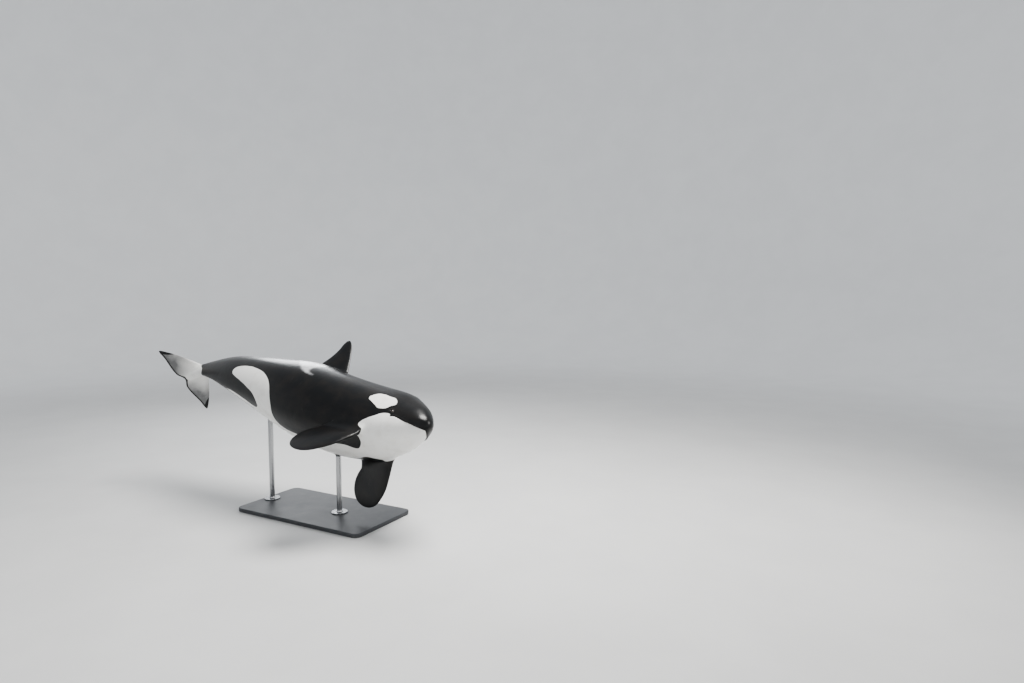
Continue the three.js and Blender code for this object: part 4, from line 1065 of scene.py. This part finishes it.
eyeFinish = {
    "pupil": (0.002, 0.002, 0.002, 1), "iris": (0.055, 0.026, 0.012, 1), "irisDark": (0.018, 0.009, 0.005, 1),
    "rim": (0.010, 0.008, 0.007, 1), "whiteOfEye": (0.36, 0.27, 0.23, 1),
    "pupilWide": 0.30, "pupilHigh": 0.17, "pupilEdge": (0.94, 1.04),
    "irisSize": 0.52, "irisFade": 0.10, "irisEdge": 0.01, "rimSize": 0.60, "rimFade": 0.22,
    "fibres": (4.0, 6.0, 0.7), "fleck": 0.25, "flecks": (900.0, 2.0), "streaks": (0.45, 0.80),
    "roughness": 0.12, "refraction": 1.38, "coat": 1.0, "coatRoughness": 0.02,
}


def eyeMaterial():
    # Rings by the distance from the middle of the cornea: an oval pupil, a streaked iris, its rim, the white
    m, v = newMaterial("orca_eye"), eyeFinish
    look = m.attribute("lookPlace", "Vector")

    def away(width, height):  # the root of the sum of both squares, each place measured in its own unit
        x = m.math("DIVIDE", m.node("SeparateXYZ", {0: look}, "X"), width)
        y = m.math("DIVIDE", m.node("SeparateXYZ", {0: look}, "Y"), height)
        return m.math("SQRT", m.total(m.times(x, x), m.times(y, y)))

    middle, size = away(1.0, 1.0), v["irisSize"]
    fibres = m.noise(*v["fibres"], vector=m.node("VectorMath", {0: look}, operation="NORMALIZE"))
    streaks = m.step(m.total(fibres, m.times(m.noise(*v["flecks"]), v["fleck"])), *v["streaks"])
    iris = m.mix(streaks, v["irisDark"], v["iris"])
    iris = m.mix(m.step(middle, size - v["irisFade"], size), iris, v["rim"])
    outer = m.mix(m.step(middle, v["rimSize"], v["rimSize"] + v["rimFade"]), v["rim"], v["whiteOfEye"])
    ball = m.mix(m.step(middle, size - v["irisEdge"], size + v["irisEdge"]), iris, outer)
    pupil = m.step(away(v["pupilWide"], v["pupilHigh"]), *v["pupilEdge"])
    m.shade({"Base Color": m.mix(pupil, v["pupil"], ball), "Roughness": v["roughness"],
             "IOR": v["refraction"], "Coat Weight": v["coat"], "Coat Roughness": v["coatRoughness"]})
    return m.made


standFinish = {
    "paint": (0.055, 0.058, 0.063, 1), "paintWorn": (0.085, 0.088, 0.094, 1), "paintRoughness": 0.48,
    "paintScuffs": (0.52, 0.80, 3.0, 8.0, 0.68), "paintGloss": (0.18, 6.0, 5.0),
    "paintPeel": (0.0005, 260.0, 2.0), "paintBump": 0.6,
    "steel": (0.47, 0.475, 0.485, 1), "steelDark": (0.40, 0.405, 0.415, 1), "steelRoughness": 0.25,
    "steelStretch": (240.0, 240.0, 3.0), "steelGrain": (1.0, 3.0, 0.6), "steelSmears": (0.14, 5.0, 4.0),
    "steelGrainGloss": 0.06, "steelGrainHeight": 0.00006, "steelBump": 0.5,
}


def paintMaterial():  # powder coat: the noises of a fine orange peel and of faint scuffs
    m, v = newMaterial("stand_paint"), standFinish
    m.shade({"Base Color": m.mix(m.spots(*v["paintScuffs"]), v["paint"], v["paintWorn"]),
             "Roughness": m.total(m.sway(*v["paintGloss"]), v["paintRoughness"]),
             "Normal": m.bump(v["paintBump"], m.sway(*v["paintPeel"]))})
    return m.made


def steelMaterial():  # satin steel: a noise drawn out along the rods, and broad faint smears in the gloss
    m, v = newMaterial("stand_steel"), standFinish
    drawn = m.node("Mapping", {"Vector": m.place, "Scale": v["steelStretch"]})
    gloss = m.sway(v["steelGrainGloss"], *v["steelGrain"], vector=drawn)
    height = m.sway(v["steelGrainHeight"], *v["steelGrain"], vector=drawn)
    m.shade({"Base Color": m.mix(m.noise(*v["steelGrain"], vector=drawn), v["steelDark"], v["steel"]),
             "Roughness": m.total(gloss, m.sway(*v["steelSmears"]), v["steelRoughness"]), "Metallic": 1.0,
             "Normal": m.bump(v["steelBump"], height)})
    return m.made


orcaSkin = makeSkin()
print("skin:", len(orcaSkin.data.vertices), "points,", len(orcaSkin.data.polygons), "faces")


# Eyeballs: a sphere with a low cornea, given round the way that it looks

eyeball = {"across": 48, "round": 64, "cornea": 0.05, "corneaWidth": 0.55, "aheadStep": 0.01}


def ringQuads(index):  # the faces between closed rings of points, with one row of numbers for each ring
    after = np.roll(index, -1, axis=1)
    return np.stack([index[:-1], index[1:], after[1:], after[:-1]], -1).reshape(-1, 4)


def makeEyeball(side, name, node, finish):
    # A sphere in polar rings, its radius raised by a bell about the way that it looks
    angle = eye["over"] if side > 0 else 180 - eye["over"]
    onSkin, normal = smoothBody(eye["at"], angle)[0], bodyNormal(eye["at"], angle)
    step = eyeball["aheadStep"]
    ahead = unit(smoothBody(eye["at"] - step, angle)[0] - smoothBody(eye["at"] + step, angle)[0])
    ahead = unit(ahead - normal * (ahead @ normal))
    up = np.cross(normal, ahead) * -side
    polar = np.pi * np.arange(1, eyeball["across"]) / eyeball["across"]
    around = 2 * np.pi * np.arange(eyeball["round"]) / eyeball["round"]
    polar, around = np.meshgrid(polar, around, indexing="ij")
    x, y, z = np.sin(polar) * np.cos(around), np.sin(polar) * np.sin(around), np.cos(polar)
    look = np.vstack([np.stack([x, y, z], -1).reshape(-1, 3), [0, 0, 1], [0, 0, -1]])
    off = np.arccos(np.clip(look[:, 2], -1, 1))
    radius = eye["radius"] * (1 + eyeball["cornea"] * bell(off, eyeball["corneaWidth"]))
    points = onSkin - normal * eye["sunk"] + (look * radius[:, None]) @ np.stack([ahead, up, normal])
    index = np.arange(polar.size).reshape(polar.shape)
    quads, front, rear = ringQuads(index), fan(index[0], polar.size), fan(index[-1], polar.size + 1)
    triangles = np.vstack([front, rear[:, [1, 0, 2]]])
    if side > 0:
        quads, triangles = quads[:, ::-1], triangles[:, ::-1]
    made = makeMesh(name, placed(points), quads, triangles, {"lookPlace": look})
    made.data.materials.append(finish)
    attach(made, "root")
    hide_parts(node)
    return made


wetEye = eyeMaterial()
makeEyeball(1, "orca_eye_left", "eye_left", wetEye)
makeEyeball(-1, "orca_eye_right", "eye_right", wetEye)
print("eyeballs made")


# The stand keeps its shapes from the frame and gets its finish here.

def refinish(name, finish):  # each material of a stand's piece gives way to the finish
    slots = nodes[name].data.materials
    if not slots:
        slots.append(finish)
    for i in range(len(slots)):
        slots[i] = finish


refinish("stand_base", paintMaterial())
steel = steelMaterial()
refinish("stand_rod_front", steel)
refinish("stand_rod_rear", steel)


# The studio: a pale floor that rises all round into a wall, soft lights, and the camera

studio = {
    "floorReach": 20.0, "cove": 7.0, "wall": 20.0, "below": 0.0005,
    "firstRing": 0.4, "flatRings": 8, "coveRings": 16, "around": 96,
    "shade": (0.64, 0.64, 0.635, 1), "shadeLow": (0.615, 0.615, 0.611, 1),
    "clouds": (0.35, 0.65, 0.7, 5.0, 0.6),
    "roughness": 0.72, "gloss": (0.12, 9.0, 4.0), "specular": 0.2,
    "glow": 0.25, "glowFrom": 6.0, "glowTo": 24.0,  # its own light, more and more away from the middle
    "worldShade": (0.90, 0.93, 0.97, 1), "worldStrength": 0.45, "exposure": 0.0,
    # name, place, target, size, power, colour
    "lights": [
        ["key", (2.6, 1.2, 8.8), (0.2, 0.0, 1.6), 4.2, 1050, (1.0, 0.985, 0.96)],
        ["side", (9.0, 3.5, 5.5), (0.8, 0.0, 1.8), 3.5, 260, (1.0, 0.98, 0.95)],
        ["rear", (-7.0, 6.0, 6.5), (-1.0, 0.0, 2.0), 4.0, 330, (0.95, 0.975, 1.0)],
        ["front", (3.0, -10.0, 6.5), (0.0, 0.0, 1.8), 5.0, 190, (1.0, 1.0, 1.0)],
    ],
}


def makeStudio():
    # A flat disc, a quarter round and an upright wall, turned round the middle
    flat = np.linspace(studio["firstRing"], studio["floorReach"], studio["flatRings"])
    turn = np.linspace(0, np.pi / 2, studio["coveRings"])[1:]
    coveReach = studio["floorReach"] + studio["cove"] * np.sin(turn)
    coveHeight = studio["cove"] * (1 - np.cos(turn))
    reach = np.concatenate([flat, coveReach, coveReach[-1:]])[:, None]
    height = np.concatenate([0 * flat, coveHeight, [studio["wall"]]])[:, None] - studio["below"]
    around = 2 * np.pi * np.arange(studio["around"]) / studio["around"]
    points = np.stack(np.broadcast_arrays(reach * np.cos(around), reach * np.sin(around), height), -1)
    index = np.arange(points.size // 3).reshape(points.shape[:2])
    points = np.vstack([points.reshape(-1, 3), [0, 0, height[0, 0]]])
    made = makeMesh("studio_floor", points, ringQuads(index), fan(index[0], index.size))
    m = newMaterial("studio_floor")
    away = m.node("VectorMath", {0: m.place}, "Value", operation="LENGTH")
    glow = m.times(m.step(away, studio["glowFrom"], studio["glowTo"]), studio["glow"])
    m.shade({"Base Color": m.mix(m.spots(*studio["clouds"]), studio["shadeLow"], studio["shade"]),
             "Roughness": m.total(m.sway(*studio["gloss"]), studio["roughness"]),
             "Specular IOR Level": studio["specular"], "Emission Strength": glow,
             "Emission Color": studio["worldShade"]})
    made.data.materials.append(m.made)
    world = bpy.data.worlds.new("studio")
    world.use_nodes = True
    background = world.node_tree.nodes["Background"]
    background.inputs[0].default_value = studio["worldShade"]
    background.inputs[1].default_value = studio["worldStrength"]
    bpy.context.scene.world = world
    bpy.context.scene.view_settings.look = "AgX - Medium High Contrast"
    bpy.context.scene.view_settings.exposure = studio["exposure"]


def makeLights():  # discs of light, each turned so that its -Z points at its target
    for name, place, target, size, power, colour in studio["lights"]:
        lamp = bpy.data.lights.new(name, "AREA")
        lamp.shape = "DISK"
        lamp.size = size
        lamp.energy = power
        lamp.color = colour
        made = bpy.data.objects.new(name, lamp)
        made.location = place
        made.rotation_euler = Vector(np.subtract(target, place)).to_track_quat("-Z", "Y").to_euler()
        bpy.context.scene.collection.objects.link(made)


view = {"place": (7.2513, -7.3299, 3.3747), "turn": 28.58, "down": 4.5, "lens": 23.523, "sensor": 36.0,
        "farEnd": 200.0}


def makeCamera():  # placed, turned round the upright and tilted down as the photo's camera was
    made = bpy.data.objects.new("camera", bpy.data.cameras.new("camera"))
    made.data.lens = view["lens"]
    made.data.sensor_width = view["sensor"]
    made.data.clip_end = view["farEnd"]
    made.location = view["place"]
    made.rotation_euler = np.radians([90 - view["down"], 0, view["turn"]])
    bpy.context.scene.collection.objects.link(made)
    bpy.context.scene.camera = made


makeStudio()
makeLights()
makeCamera()
print("studio, lights and camera ready")
